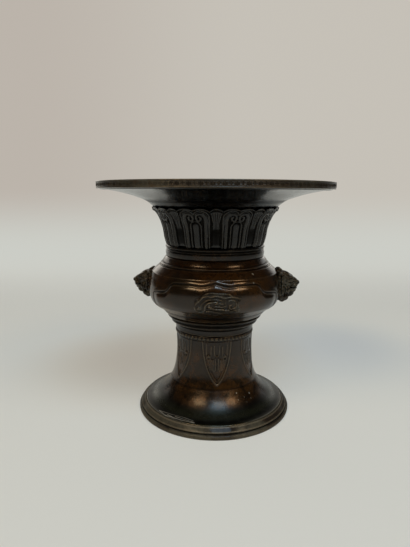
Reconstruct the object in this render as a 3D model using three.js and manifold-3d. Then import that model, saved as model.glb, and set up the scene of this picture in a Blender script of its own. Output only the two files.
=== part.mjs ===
// Flower vase of patinated bronze: a wide flat dish that lifts out of the neck, a neck collar of
// petal lappets, a round belly with two beast masks and two medallions, and a tall stem on a round
// foot. Millimetres, +Z up, the origin in the middle of the flat base, the front medallion at -Y.
import * as THREE from "three";
import { mergeVertices } from "three/addons/utils/BufferGeometryUtils.js";
import Module from "manifold-3d";

const wasm = await Module();
wasm.setup();

// Heights of the cast sections, from the floor up
const FOOT_RING_HEIGHT = 11.2;
const STEM_HEIGHT = 71.6;
const BAND_HEIGHT = 12.4;
const LOWER_RING_HEIGHT = 9.8;
const BELLY_HEIGHT = 52.2;
const SHOULDER_HEIGHT = 8.4;
const NECK_RING_HEIGHT = 11.9;
const COLLAR_HEIGHT = 37.5;
const DISH_HEIGHT = 25;

// Outer radii, and how far the mouldings stand out from the radius below or beside them
const FOOT_RADIUS = 75.5;
const BASE_STEP = 5.7;
const STEM_RADIUS = 39.9;
const BAND_STEP = 1.4;
const LOWER_RING_STEP = 8.6;
const BELLY_RADIUS = 69.3;
const NECK_RADIUS = 50.3;
const NECK_BEAD = 1.2;
const SHOULDER_STEP = 6.6;
const COLLAR_STEP = 14.7;
const RIM_RADIUS = 119.2;

// Walls and fits
const WALL = 3;
const COLLAR_LIP = 1.2;
const SPIGOT_INSET = 5.9;
const RIM_BAND = 6.6;
const RIM_WIDTH = 5;
const BASE_PLATE_THICKNESS = 2.5;
const BASE_LEDGE = 3;
const FIT = 0.3;

// Ornament
const LAPPETS = 9;
const SCALLOP = 1.2;
const BLADES = 6;
const BLADE_LENGTH = 44;
const BLADE_ANGLE = THREE.MathUtils.degToRad(42);
const BLADE_RELIEF = 0.6;
const MASK_TURN = THREE.MathUtils.degToRad(-8);
const MASK_REACH = 19;
const MASK_HEIGHT = 34;
const MASK_WIDTH = 31;
const MASK_RISE = 6.4;
const MEDALLION_WIDTH = 48;
const MEDALLION_HEIGHT = 26;
const MEDALLION_RELIEF = 2.4;
const MEDALLION_DROP = 2.1;

// Rivets of the ornament and cross pins of the sections
const RIVET_RADIUS = 1.6;
const RIVET_HEAD_RADIUS = 3;
const RIVET_HEAD_FLAT = 2.4;
const RIVET_HEAD = 1.2;
const RIVET_BITE = 1.2;
const MEDALLION_RIVET_SPACING = 30;
const MASK_RIVET_SPACING = 14;
const PIN_RADIUS = 2;

// Steps round the axis of each turned piece, and round the small ones
const SIDES = 48;
const COLLAR_SIDES = 6 * LAPPETS;
const LUMP_SIDES = 12;
const BAR_SIDES = 10;

// Level of the lower face of each section
const stemLevel = FOOT_RING_HEIGHT;
const bandLevel = stemLevel + STEM_HEIGHT;
const lowerRingLevel = bandLevel + BAND_HEIGHT;
const bellyLevel = lowerRingLevel + LOWER_RING_HEIGHT;
const shoulderLevel = bellyLevel + BELLY_HEIGHT;
const neckRingLevel = shoulderLevel + SHOULDER_HEIGHT;
const collarLevel = neckRingLevel + NECK_RING_HEIGHT;
const mouthLevel = collarLevel + COLLAR_HEIGHT;
const topLevel = mouthLevel + DISH_HEIGHT;

const baseRadius = FOOT_RADIUS + BASE_STEP;
const bandRadius = STEM_RADIUS + BAND_STEP;
const lowerRingRadius = bandRadius + LOWER_RING_STEP;
const shoulderRadius = NECK_RADIUS + SHOULDER_STEP;
const collarRadius = NECK_RADIUS + COLLAR_STEP;

// Tubes inside one another: the stem's spigot in the belly's socket, the collar's in the neck tube
const spigotOuter = STEM_RADIUS - SPIGOT_INSET;
const spigotInner = spigotOuter - WALL;
const socketInner = spigotOuter + FIT;
const socketOuter = socketInner + WALL;
const neckTubeOuter = NECK_RADIUS - WALL - FIT;
const neckTubeInner = neckTubeOuter - WALL;
const collarSpigotOuter = neckTubeInner - FIT;
const collarSpigotInner = collarSpigotOuter - WALL;

const bellyMiddle = bellyLevel + BELLY_HEIGHT / 2;
const maskLevel = bellyMiddle + MASK_RISE;
const medallionLevel = bellyMiddle - MEDALLION_DROP;
const lowerPinLevel = lowerRingLevel + LOWER_RING_HEIGHT / 2;
const neckPinLevel = neckRingLevel + NECK_RING_HEIGHT / 2;

const { lerp: mix, clamp } = THREE.MathUtils;
const point = (radius, level) => new THREE.Vector2(radius, level);

// A line through points given as shares of the way between two radii and between two levels.
function line(radii, levels, shares) {
  return shares.map(([across, up]) => point(mix(...radii, across), mix(...levels, up)));
}

// The line moved to its left as it runs, by a thickness that may change along it.
function shifted(points, thickness) {
  return points.map((here, i) => {
    const before = points[Math.max(i - 1, 0)];
    const after = points[Math.min(i + 1, points.length - 1)];
    const along = after.clone().sub(before).normalize();
    const distance = typeof thickness === "function" ? thickness(i / (points.length - 1)) : thickness;
    return point(here.x - along.y * distance, here.y + along.x * distance);
  });
}

const downwards = (points) => [...points].reverse();

// Points enough for an inside, which is smoother than the outside that it follows.
const everySecond = (points) => points.filter((_, i) => i % 2 === 0);

// A solid turned round the axis from a closed outline that runs upwards on its outside.
function turned(outline, sides = SIDES) {
  const geometry = new THREE.LatheGeometry([...outline, outline[0]], sides);
  return geometry.rotateX(Math.PI / 2);
}

// Moves each point of a turned solid outwards by an amount set by its angle, radius and level.
function embossed(geometry, amount) {
  const places = geometry.attributes.position;
  for (let i = 0; i < places.count; i += 1) {
    const [x, y, z] = [places.getX(i), places.getY(i), places.getZ(i)];
    const radius = Math.hypot(x, y);
    const grown = 1 + amount(Math.atan2(x, -y), radius, z) / radius;
    places.setXY(i, x * grown, y * grown);
  }
  return geometry;
}

function solid(geometry) {
  const bare = geometry.clone();
  bare.deleteAttribute("normal");
  bare.deleteAttribute("uv");
  const merged = mergeVertices(bare, 1e-4);
  return new wasm.Manifold(
    new wasm.Mesh({
      numProp: 3,
      vertProperties: merged.attributes.position.array,
      triVerts: new Uint32Array(merged.index.array),
    }),
  );
}

function geometryOf(shape) {
  const mesh = shape.getMesh();
  const geometry = new THREE.BufferGeometry();
  geometry.setAttribute("position", new THREE.BufferAttribute(mesh.vertProperties, 3));
  geometry.setIndex(new THREE.BufferAttribute(mesh.triVerts, 1));
  return geometry.toNonIndexed();
}

function cut(geometry, tools) {
  return geometryOf(tools.reduce((rest, tool) => rest.subtract(solid(tool)), solid(geometry)));
}

// A round bar along a radius at the front, then turned round the axis by an angle towards +X.
function radialBar(barRadius, from, to, level, angle, sideways = 0) {
  const bar = new THREE.CylinderGeometry(barRadius, barRadius, to - from, BAR_SIDES);
  bar.translate(sideways, -(from + to) / 2, level);
  return bar.rotateZ(angle);
}

// Outer line of the belly, from its flat underside to the groove under the shoulder.
function bellyLine() {
  const levels = [bellyLevel, shoulderLevel];
  const taper = [[0.05, 0], [0.45, 0.105], [0.74, 0.18]];
  const swell = [[0.85, 0.24], [0.95, 0.37], [1, 0.48], [0.99, 0.61], [0.93, 0.73]];
  const top = [[0.87, 0.8], [0.62, 0.88], [0.18, 0.975]];
  return [
    ...line([lowerRingRadius, BELLY_RADIUS], levels, [...taper, ...swell]),
    ...line([shoulderRadius, BELLY_RADIUS], levels, top),
  ];
}

// Outer line of the shoulder, from the groove over the belly to the neck ring.
function shoulderLine() {
  const shares = [[0.82, 0], [0.95, 0.1], [0.83, 0.2], [0.72, 0.35], [0.5, 0.62], [0.2, 1]];
  return line([NECK_RADIUS, shoulderRadius], [shoulderLevel, neckRingLevel], shares);
}

// Inner line of the belly's wall, from its floor to the foot of the neck tube.
function bellyInsideLine() {
  const wall = everySecond(shifted(bellyLine(), WALL).slice(1));
  return [...wall, point(neckTubeInner, neckRingLevel - WALL)];
}

// Radius of a line at a level.
function radiusAt(points, level) {
  const next = points.findIndex((here) => here.y >= level);
  const low = points[next - 1];
  const high = points[next];
  return mix(low.x, high.x, (level - low.y) / (high.y - low.y));
}

// The outside of belly and shoulder grown by a distance, as a solid that shapes the ornament on it.
function bellyGrownBy(distance) {
  const grown = [bellyLine(), shoulderLine()].flatMap((outside) => shifted(outside, -distance));
  return turned([point(0, grown[0].y), ...grown, point(0, grown.at(-1).y)]);
}

// Outer line of the collar, from the neck to its overhanging scalloped edge.
function collarLine() {
  const body = [[0, 0], [0.09, 0.11], [0.16, 0.23], [0.23, 0.4], [0.31, 0.51]];
  const edge = [[0.54, 0.72], [0.82, 0.89], [1, 1]];
  return line([NECK_RADIUS, collarRadius], [collarLevel, mouthLevel], [...body, ...edge]);
}

// Inner line of the collar, which the dish's throat follows: its wall thins towards the edge.
function seatLine() {
  return shifted(collarLine(), (along) => mix(WALL, COLLAR_LIP, along * along));
}

function dish() {
  const rimLevel = topLevel - RIM_BAND;
  const throat = shifted(seatLine(), FIT);
  const end = point(throat[1].x - FIT, collarLevel + WALL + FIT);
  const flareShares = [[0.05, 0.21], [0.11, 0.34], [0.22, 0.48], [0.46, 0.71], [0.73, 0.89]];
  const flare = line([collarRadius, RIM_RADIUS], [mouthLevel, rimLevel], flareShares);
  const underside = [end, ...throat.slice(1), ...flare, point(RIM_RADIUS - RIM_WIDTH, rimLevel)];
  const floor = downwards(everySecond(shifted(underside, WALL)));
  const bandShares = [[0.94, 0.02], [0.99, 0.2], [0.94, 0.5], [0.94, 0.76], [1, 0.88], [0.96, 1]];
  const lipShares = [[0, 1], [-0.3, 0.42]];
  const rim = line([RIM_RADIUS - RIM_WIDTH, RIM_RADIUS], [rimLevel, topLevel], [...bandShares, ...lipShares]);
  return turned([...underside, ...rim, ...floor]);
}

function collar() {
  const outside = collarLine();
  const inside = seatLine();
  const ledge = collarLevel + WALL;
  const spigotEnd = neckRingLevel + FIT;
  const outline = [
    point(collarSpigotInner, spigotEnd),
    point(collarSpigotOuter, spigotEnd),
    point(collarSpigotOuter, collarLevel + FIT),
    point(outside[0].x, collarLevel + FIT),
    ...outside.slice(1),
    ...downwards(inside.slice(1)),
    point(inside[1].x, ledge),
    point(collarSpigotInner, ledge),
  ];
  const scalloped = embossed(turned(outline, COLLAR_SIDES), (angle, radius, level) => {
    const onOutside = radius > radiusAt(inside, clamp(level, inside[0].y + FIT, inside.at(-1).y)) + FIT;
    const rise = clamp((level - collarLevel) / COLLAR_HEIGHT, 0, 1);
    const lappet = Math.abs(Math.sin((angle * LAPPETS) / 2));
    return onOutside ? -SCALLOP * rise * rise * (1 - lappet) : 0;
  });
  return cut(scalloped, pinHoles(neckPinLevel, collarSpigotInner, neckTubeOuter));
}

function neckRing() {
  const levels = [neckRingLevel + FIT, collarLevel];
  const shares = [[0.2, 0], [0.85, 0.42], [0.3, 0.6], [0, 0.66], [0.3, 0.72], [1, 0.83], [0.2, 1]];
  const outside = line([NECK_RADIUS, NECK_RADIUS + NECK_BEAD], levels, shares);
  const inner = neckTubeOuter + FIT;
  return turned([point(inner, levels[0]), ...outside, point(inner, levels[1])]);
}

function belly() {
  const outline = [
    point(socketInner, lowerRingLevel + FIT),
    point(socketOuter, lowerRingLevel + FIT),
    point(socketOuter, bellyLevel),
    ...bellyLine(),
    ...shoulderLine(),
    point(neckTubeOuter, neckRingLevel),
    point(neckTubeOuter, collarLevel),
    point(neckTubeInner, collarLevel),
    ...downwards(bellyInsideLine()),
    point(socketInner, bellyLevel + WALL),
  ];
  const socketHoles = pinHoles(lowerPinLevel, spigotInner, socketOuter);
  const neckHoles = pinHoles(neckPinLevel, collarSpigotInner, neckTubeOuter);
  return cut(turned(outline), [...rivetHoles(), ...socketHoles, ...neckHoles]);
}

function lowerRing() {
  const levels = [lowerRingLevel + FIT, bellyLevel - FIT];
  const hollow = [[0.1, 0], [0.43, 0.24], [0.52, 0.33], [0.5, 0.4], [0.8, 0.68]];
  const bead = [[1, 0.84], [1, 0.96], [0.9, 1]];
  const outside = line([bandRadius, lowerRingRadius], levels, [...hollow, ...bead]);
  const inner = socketOuter + FIT;
  return turned([point(inner, levels[0]), ...outside, point(inner, levels[1])]);
}

function band() {
  const levels = [bandLevel + FIT, lowerRingLevel];
  const shares = [[0.1, 0], [0.9, 0.12], [0.9, 0.4], [0.5, 0.45], [1, 0.52], [1, 0.94], [0.7, 1]];
  const outside = line([STEM_RADIUS, bandRadius], levels, shares);
  return turned([point(socketInner, levels[0]), ...outside, point(socketInner, levels[1])]);
}

// Outer line of the stem, from the edge of the foot to the band.
function stemLine() {
  const foot = [[1, 0], [0.82, 0.025], [0.56, 0.1], [0.35, 0.2]];
  const flare = [[0.177, 0.32], [0.122, 0.39], [0.085, 0.45], [0.052, 0.53]];
  const shaft = [[0.027, 0.62], [0.008, 0.72], [0, 0.82], [0, 0.91], [0.008, 1]];
  return line([STEM_RADIUS, FOOT_RADIUS], [stemLevel, bandLevel], [...foot, ...flare, ...shaft]);
}

function stem() {
  const outside = stemLine();
  const ledge = stemLevel - WALL;
  const inside = downwards(everySecond(shifted(outside, WALL).slice(1)));
  const outline = [
    point(inside.at(-1).x, ledge),
    point(FOOT_RADIUS, ledge),
    ...outside,
    point(spigotOuter, bandLevel),
    point(spigotOuter, bellyLevel + FIT),
    point(spigotInner, bellyLevel + FIT),
    point(spigotInner, bandLevel - WALL),
    ...inside.slice(0, -1),
  ];
  const bladed = embossed(turned(outline), (angle, radius, level) => {
    const along = (bandLevel - level) / BLADE_LENGTH;
    const onOutside = radius > radiusAt(outside, clamp(level, stemLevel + FIT, bandLevel)) - FIT;
    const pitch = (2 * Math.PI) / BLADES;
    const fromMiddle = Math.abs(angle - pitch * Math.round(angle / pitch));
    const halfAngle = (BLADE_ANGLE / 2) * Math.sqrt(Math.max(1 - along ** 2, 0));
    return onOutside && along < 1 && fromMiddle <= halfAngle ? BLADE_RELIEF : 0;
  });
  return cut(bladed, pinHoles(lowerPinLevel, spigotInner, socketOuter));
}

function footRing() {
  const ledge = stemLevel - WALL - FIT;
  const seat = FOOT_RADIUS + FIT;
  const bead = [[0.85, 0], [1, 0.05], [1, 0.2], [0.8, 0.42]];
  const slope = [[0.6, 0.48], [0.67, 0.56], [0.3, 0.8], [0.2, 0.95]];
  const outside = line([seat, baseRadius], [0, stemLevel], [...bead, ...slope]);
  return turned([
    point(seat - 3 * WALL, 0),
    ...outside,
    point(seat, stemLevel),
    point(seat, ledge),
    point(seat - 2 * WALL, ledge),
    point(seat - 2 * WALL, BASE_LEDGE),
    point(seat - 3 * WALL, BASE_LEDGE),
  ]);
}

function basePlate() {
  const radius = FOOT_RADIUS - 2 * WALL;
  const level = BASE_LEDGE + FIT;
  const top = level + BASE_PLATE_THICKNESS;
  return turned([point(0, level), point(radius, level), point(radius, top), point(0, top)]);
}

// Bracket-shaped outline of a medallion: a point in the middle of each side, hollow corners.
function medallionOutline() {
  const [halfWidth, halfHeight] = [MEDALLION_WIDTH / 2, MEDALLION_HEIGHT / 2];
  const quarter = [[1, 0], [0.92, 0.34], [0.96, 0.62], [0.78, 0.7], [0.7, 0.92], [0.36, 0.86], [0, 1]];
  const corner = (right, up) =>
    quarter.map(([across, rise]) => new THREE.Vector2(right * across * halfWidth, up * rise * halfHeight));
  const right = [...downwards(corner(1, -1)), ...corner(1, 1).slice(1)];
  const left = [...downwards(corner(-1, 1)), ...corner(-1, -1).slice(1)];
  return new THREE.Shape([...right, ...left.slice(1, -1)]);
}

// Half sizes of the boss in a medallion's middle, as shares of its width, relief and height
const BOSS_SHARES = { width: 0.36, relief: 1.6, height: 0.34 };

function medallion(angle) {
  const depth = BELLY_RADIUS;
  const plate = new THREE.ExtrudeGeometry(medallionOutline(), { depth, bevelEnabled: false });
  plate.rotateX(Math.PI / 2).translate(0, 0, medallionLevel);
  const boss = new THREE.SphereGeometry(1, LUMP_SIDES, LUMP_SIDES / 2);
  const { width, relief, height } = BOSS_SHARES;
  boss.scale(MEDALLION_WIDTH * width, MEDALLION_RELIEF * relief, MEDALLION_HEIGHT * height);
  boss.translate(0, -BELLY_RADIUS, medallionLevel);
  const shell = solid(bellyGrownBy(MEDALLION_RELIEF)).subtract(solid(bellyGrownBy(FIT)));
  const slab = solid(plate).intersect(shell);
  const whole = slab.add(solid(boss).subtract(solid(bellyGrownBy(FIT))));
  return cut(geometryOf(whole).rotateZ(angle), medallionHoles(angle));
}

// Lumps of a beast's head: how far each lies across, outwards and up from the middle of its back,
// and its half sizes, as shares of the head's half width, reach and half height
const HEAD_LUMPS = {
  backEdge: { across: 0, out: 0, up: 0, width: 1, reach: 0.3, height: 1 },
  mane: { across: 0, out: 0.15, up: 0.1, width: 0.82, reach: 0.42, height: 0.8 },
  brow: { across: 0, out: 0.45, up: 0.24, width: 0.5, reach: 0.4, height: 0.42 },
  muzzle: { across: 0, out: 0.62, up: 0.1, width: 0.36, reach: 0.38, height: 0.3 },
  beard: { across: 0, out: 0.45, up: -0.3, width: 0.34, reach: 0.4, height: 0.34 },
  rightCurl: { across: 0.62, out: 0.2, up: 0.5, width: 0.24, reach: 0.24, height: 0.28 },
  leftCurl: { across: -0.62, out: 0.2, up: 0.5, width: 0.24, reach: 0.24, height: 0.28 },
};

function mask(angle) {
  const wall = radiusAt(bellyLine(), maskLevel);
  const [halfWidth, halfHeight] = [MASK_WIDTH / 2, MASK_HEIGHT / 2];
  const lumps = Object.values(HEAD_LUMPS).map(({ across, out, up, width, reach, height }) => {
    const ball = new THREE.SphereGeometry(1, LUMP_SIDES, LUMP_SIDES / 2);
    ball.scale(width * halfWidth, reach * MASK_REACH, height * halfHeight);
    ball.translate(across * halfWidth, -(wall + out * MASK_REACH), maskLevel + up * halfHeight);
    return solid(ball);
  });
  const head = lumps.reduce((sum, shape) => sum.add(shape));
  const seated = head.subtract(solid(bellyGrownBy(FIT)));
  return cut(geometryOf(seated).rotateZ(angle), maskHoles(angle));
}

const maskAngles = { right: Math.PI / 2 + MASK_TURN, left: -Math.PI / 2 + MASK_TURN };
const medallionAngles = { front: 0, back: Math.PI };
const pinAngles = { right: Math.PI / 2, left: -Math.PI / 2 };

// Places of the rivets: level, sideways offset and turn of each.
function maskRivetPlaces(angle) {
  const half = MASK_RIVET_SPACING / 2;
  return [-half, half].map((rise) => ({ level: maskLevel + rise, sideways: 0, angle }));
}

function medallionRivetPlaces(angle) {
  const half = MEDALLION_RIVET_SPACING / 2;
  return [-half, half].map((sideways) => ({ level: medallionLevel, sideways, angle }));
}

// How far a line of the belly lies in front of the axis, at a level and a distance sideways.
function depthAt(points, level, sideways) {
  return Math.sqrt(radiusAt(points, level) ** 2 - sideways ** 2);
}

function rivetTip({ level, sideways }) {
  return depthAt(bellyLine(), level, sideways) + RIVET_BITE;
}

// The deepest spot of the wall's inside under a rivet's head.
function rivetSeat({ level, sideways }) {
  const reach = Math.abs(sideways) + RIVET_HEAD_RADIUS;
  const levels = [level - RIVET_HEAD_RADIUS, level + RIVET_HEAD_RADIUS];
  return Math.min(...levels.map((edge) => depthAt(bellyInsideLine(), edge, reach))) - FIT;
}

function rivetHole(spot) {
  const [from, to] = [rivetSeat(spot) - FIT, rivetTip(spot) + FIT];
  return radialBar(RIVET_RADIUS + FIT, from, to, spot.level, spot.angle, spot.sideways);
}

const maskHoles = (angle) => maskRivetPlaces(angle).map(rivetHole);
const medallionHoles = (angle) => medallionRivetPlaces(angle).map(rivetHole);

function rivetHoles() {
  const behindMasks = Object.values(maskAngles).flatMap(maskHoles);
  const behindMedallions = Object.values(medallionAngles).flatMap(medallionHoles);
  return [...behindMasks, ...behindMedallions];
}

// A rivet with its shank through the wall into the ornament and its round head inside the belly.
function rivet(spot) {
  const headTop = rivetSeat(spot);
  const tip = rivetTip(spot);
  const outline = [
    point(0, headTop - RIVET_HEAD),
    point(RIVET_HEAD_FLAT, headTop - RIVET_HEAD),
    point(RIVET_HEAD_RADIUS, headTop - RIVET_HEAD / 2),
    point(RIVET_HEAD_RADIUS, headTop),
    point(RIVET_RADIUS, headTop),
    point(RIVET_RADIUS, tip),
    point(0, tip),
  ];
  const geometry = turned(outline, BAR_SIDES).rotateX(Math.PI / 2);
  return geometry.translate(spot.sideways, 0, spot.level).rotateZ(spot.angle);
}

function pinHoles(level, from, to) {
  const hole = (angle) => radialBar(PIN_RADIUS + FIT, from - WALL, to + WALL, level, angle);
  return Object.values(pinAngles).map(hole);
}

function crossPin(level, from, to, angle) {
  return radialBar(PIN_RADIUS, from + FIT, to - FIT, level, angle);
}

const darkBronze = { color: 0x221d17, roughness: 0.4, metalness: 0.7 };
const brownBronze = { color: 0x3a2b1c, roughness: 0.32, metalness: 0.7 };
const oliveBronze = { color: 0x48412f, roughness: 0.5, metalness: 0.6 };
const bareBronze = { color: 0x7a6440, roughness: 0.5, metalness: 0.8 };

const vase = new THREE.Group();

function add(name, geometry, finish) {
  const mesh = new THREE.Mesh(geometry, new THREE.MeshStandardMaterial(finish));
  mesh.name = name;
  vase.add(mesh);
}

add("dish", dish(), darkBronze);
add("petal_collar", collar(), darkBronze);
add("neck_ring", neckRing(), brownBronze);
add("belly", belly(), brownBronze);
add("lower_ring", lowerRing(), brownBronze);
add("stem_band", band(), darkBronze);
add("stem_foot", stem(), brownBronze);
add("foot_ring", footRing(), oliveBronze);
add("base_plate", basePlate(), bareBronze);
for (const [side, angle] of Object.entries(maskAngles)) {
  add(`mask_${side}`, mask(angle), oliveBronze);
  maskRivetPlaces(angle).forEach((spot, i) => {
    add(`mask_rivet_${side}_${["lower", "upper"][i]}`, rivet(spot), bareBronze);
  });
}
for (const [side, angle] of Object.entries(medallionAngles)) {
  add(`medallion_${side}`, medallion(angle), oliveBronze);
  medallionRivetPlaces(angle).forEach((spot, i) => {
    add(`medallion_rivet_${side}_${["left", "right"][i]}`, rivet(spot), bareBronze);
  });
}
for (const [side, angle] of Object.entries(pinAngles)) {
  add(`neck_pin_${side}`, crossPin(neckPinLevel, collarSpigotInner, neckTubeOuter, angle), bareBronze);
  add(`stem_pin_${side}`, crossPin(lowerPinLevel, spigotInner, socketOuter, angle), bareBronze);
}

export default vase;
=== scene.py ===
"""Flower vase of patinated bronze: a wide dish that lifts out of a collar of petal lappets, a round
belly with two beast masks and two medallions, and a tall stem with hanging blades on a stepped foot.
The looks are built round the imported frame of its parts. Sizes in the drawing code are millimetres."""
import math

import bmesh
import bpy
import numpy as np
from bpy.props import FloatProperty, FloatVectorProperty, IntProperty, PointerProperty
from mathutils import Matrix, Vector


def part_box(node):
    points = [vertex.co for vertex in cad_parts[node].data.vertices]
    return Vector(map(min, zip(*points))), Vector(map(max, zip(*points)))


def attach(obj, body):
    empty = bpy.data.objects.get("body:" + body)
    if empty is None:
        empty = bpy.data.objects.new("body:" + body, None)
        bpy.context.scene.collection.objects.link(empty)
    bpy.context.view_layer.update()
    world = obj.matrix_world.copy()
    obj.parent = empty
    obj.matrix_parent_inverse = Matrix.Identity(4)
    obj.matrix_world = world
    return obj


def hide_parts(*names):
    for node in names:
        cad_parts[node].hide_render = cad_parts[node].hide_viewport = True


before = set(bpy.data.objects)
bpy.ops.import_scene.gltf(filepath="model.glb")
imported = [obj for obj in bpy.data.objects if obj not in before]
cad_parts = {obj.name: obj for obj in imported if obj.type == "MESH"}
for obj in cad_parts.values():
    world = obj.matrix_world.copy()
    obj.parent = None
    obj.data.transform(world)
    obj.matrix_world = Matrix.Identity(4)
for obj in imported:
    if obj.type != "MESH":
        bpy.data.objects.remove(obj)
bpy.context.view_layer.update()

bl_info = {
    "name": "Bronze Flower Vase",
    "version": (1, 0, 0),
    "blender": (4, 5, 0),
    "location": "View3D > Sidebar > Vase",
    "description": "A patinated bronze flower vase with a lift-out dish, masks and medallions",
    "category": "Add Mesh",
}

MM = 0.001
SEAM = 0.3
FULL_TURN = 2 * math.pi


def low(node):
    """Level of a node's lowest point, in millimetres."""
    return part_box(node)[0].z / MM


def high(node):
    """Level of a node's highest point, in millimetres."""
    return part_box(node)[1].z / MM


def reach(node):
    """Radius of a turned node, in millimetres."""
    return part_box(node)[1].y / MM


# Levels where the cast sections meet, from the floor up
FOOT_TOP = high("foot_ring") - 0.2
BAND_BASE = low("stem_band") - SEAM
RING_BASE = high("stem_band")
BELLY_BASE = high("lower_ring") + SEAM
NECK_BASE = low("neck_ring") - SEAM
COLLAR_BASE = high("neck_ring")
MOUTH = high("petal_collar")
TOP = high("dish")

# Outer radii
BASE_RADIUS = reach("foot_ring")
FOOT_RADIUS = reach("stem_foot") - 1.4
BAND_RADIUS = reach("stem_band")
RING_RADIUS = reach("lower_ring")
BELLY_RADIUS = reach("belly")
COLLAR_RADIUS = reach("petal_collar")
RIM_RADIUS = reach("dish")

# How far the stem's spigot lies in from the stem's surface
SPIGOT_STEP = 5.9


def at(turn, radius, level):
    """The place at an angle from the front in degrees, a radius and a level in millimetres."""
    angle = math.radians(turn)
    return Vector((radius * math.sin(angle), -radius * math.cos(angle), level)) * MM


def size(name, text, default):
    """A length in metres that a user may change."""
    return FloatProperty(name=name, description=text, default=default, unit="LENGTH", subtype="DISTANCE")


def colour(name, text, default):
    """A colour that a user may change."""
    return FloatVectorProperty(name=name, description=text, default=default, size=3, subtype="COLOR",
                               min=0, max=1)


def count(name, text, default):
    """A number of repeats that a user may change."""
    return IntProperty(name=name, description=text, default=default, min=1)


class VaseShape(bpy.types.PropertyGroup):
    """Sizes and counts of the vase's shape and ornament."""

    wall: size("Wall", "Thickness of the cast walls", 0.003)
    lip: size("Lip", "Thickness of the collar's upper edge", 0.0012)
    band_step: size("Band step", "How far the stem band stands out from the stem", 0.0014)
    neck_bead: size("Neck bead", "How far the neck ring's bead stands out from the neck", 0.0012)
    shoulder_step: size("Shoulder step", "How far the shoulder stands out from the neck", 0.0066)
    shoulder_height: size("Shoulder height", "From the belly's groove to the neck ring", 0.0084)
    rim_band: size("Rim band", "Height of the dish's upright band", 0.0066)
    rim_width: size("Rim width", "Width of the dish's flat lip", 0.005)
    lappets: count("Lappets", "Petal lappets round the collar", 9)
    blades: count("Blades", "Hanging blades round the stem", 6)
    beads: count("Beads", "Beads in the row under the stem band", 60)
    fret_units: count("Fret units", "Pairs of key frets round the rim", 80)
    blade_length: size("Blade length", "From the row of beads to a blade's tip", 0.044)
    medallion_relief: size("Medallion relief", "How far the medallions stand out from the belly", 0.0024)


class VaseFinish(bpy.types.PropertyGroup):
    """Colours and gloss of the patina."""

    # Black: the dish's darkest patina, and also painted shade in grooves, in the belly pit's middle and in
    # the floor's reflections beside the vase
    black: colour("Black patina", "Darkest patina, in grooves and under the dish", (0.0022, 0.0019, 0.0015))
    dark: colour("Dark patina", "Dark patina of dish and collar", (0.006, 0.005, 0.0037))
    brown: colour("Brown patina", "Brown patina of belly and stem", (0.0185, 0.0106, 0.0041))
    warm: colour("Warm patina", "Reddish places in the brown patina", (0.058, 0.025, 0.0055))
    olive: colour("Olive patina", "Olive patina of foot ring, masks and medallions", (0.076, 0.066, 0.043))
    # Scratch: pale scratches and specks, and also the painted highlight on the rim of the belly's pit
    scratch: colour("Scratch", "Pale scratches and specks of the foot", (0.6, 0.56, 0.46))
    green: colour("Green", "Green-black patina of the foot's outer edge", (0.027, 0.028, 0.0145))
    # Bare bronze: wear on ridges, and also the painted highlights along the foot ring's edges
    bare: colour("Bare bronze", "Worn and scratched bronze", (0.27, 0.22, 0.15))
    dust: colour("Dust", "Pale dust in the grooves", (0.16, 0.15, 0.125))
    floor: colour("Floor", "The pale surface that the vase stands on", (0.825, 0.825, 0.765))
    backdrop: colour("Backdrop", "The pale wall far behind the vase", (0.562, 0.53, 0.475))
    # Painted shadows: the paper beside the vase is tinted warm on the left and cool on the right
    floor_painted_warm_shadow: colour("Warm shade", "Paper floor in the warm shade on the left", (0.60, 0.47, 0.31))
    floor_painted_cool_shadow: colour("Cool shade", "Paper floor in the cool shade on the right", (0.52, 0.58, 0.64))
    floor_far: colour("Far floor", "Paper floor where it nears the backdrop", (0.60, 0.61, 0.565))
    # Painted shade: the backdrop's left is darker and warmer
    backdrop_left: colour("Backdrop left", "Paper far behind the vase, on its left", (0.50, 0.455, 0.405))


def between(radii, levels, shares):
    """Points given as shares of the way between two radii and between two levels."""
    (inner, outer), (bottom, top) = radii, levels
    return [(inner + (outer - inner) * across, bottom + (top - bottom) * up) for across, up in shares]


def smooth(points, steps=12):
    """A smooth line through some points."""
    here = np.array(points, float)
    if len(here) < 3:
        return here
    ends = np.vstack([2 * here[0] - here[1], here, 2 * here[-1] - here[-2]])
    way = np.linspace(0, 1, steps, endpoint=False)[:, None]
    spans = [
        0.5 * (2 * b + (c - a) * way + (2 * a - 5 * b + 4 * c - d) * way**2 + (3 * (b - c) + d - a) * way**3)
        for a, b, c, d in zip(ends, ends[1:], ends[2:], ends[3:])
    ]
    return np.vstack([*spans, here[-1:]])


def way_along(line):
    """The way gone at each point of a line."""
    return np.concatenate([[0], np.cumsum(np.hypot(*np.diff(line, axis=0).T))])


def spaced(line, spacing):
    """A line cut into equal steps, about a spacing long."""
    way = way_along(line)
    places = np.linspace(0, way[-1], max(round(way[-1] / spacing), 1) + 1)
    return np.column_stack([np.interp(places, way, line[:, k]) for k in (0, 1)])


class Wall:
    """The outside of a turned wall, from the bottom up: its rows, the way along it and its normals."""

    def __init__(self, strokes, softness=1):
        lines = [spaced(smooth(points), spacing) for points, spacing in strokes]
        joined = [lines[0]] + [
            line[1:] if np.allclose(line[0], before[-1]) else line for before, line in zip(lines, lines[1:])
        ]
        self.line = softened(np.vstack(joined), softness)
        self.way = way_along(self.line)
        step = np.gradient(self.line, axis=0)
        step /= np.hypot(step[:, 0], step[:, 1])[:, None]
        self.normal = np.column_stack([step[:, 1], -step[:, 0]])

    @property
    def radius(self):
        """Radius of each row."""
        return self.line[:, 0]

    @property
    def level(self):
        """Level of each row."""
        return self.line[:, 1]


def softened(line, times):
    """A line with its corners rounded."""
    line = line.copy()
    for _ in range(times):
        line[1:-1] = (line[:-2] + 2 * line[1:-1] + line[2:]) / 4
    return line


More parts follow.
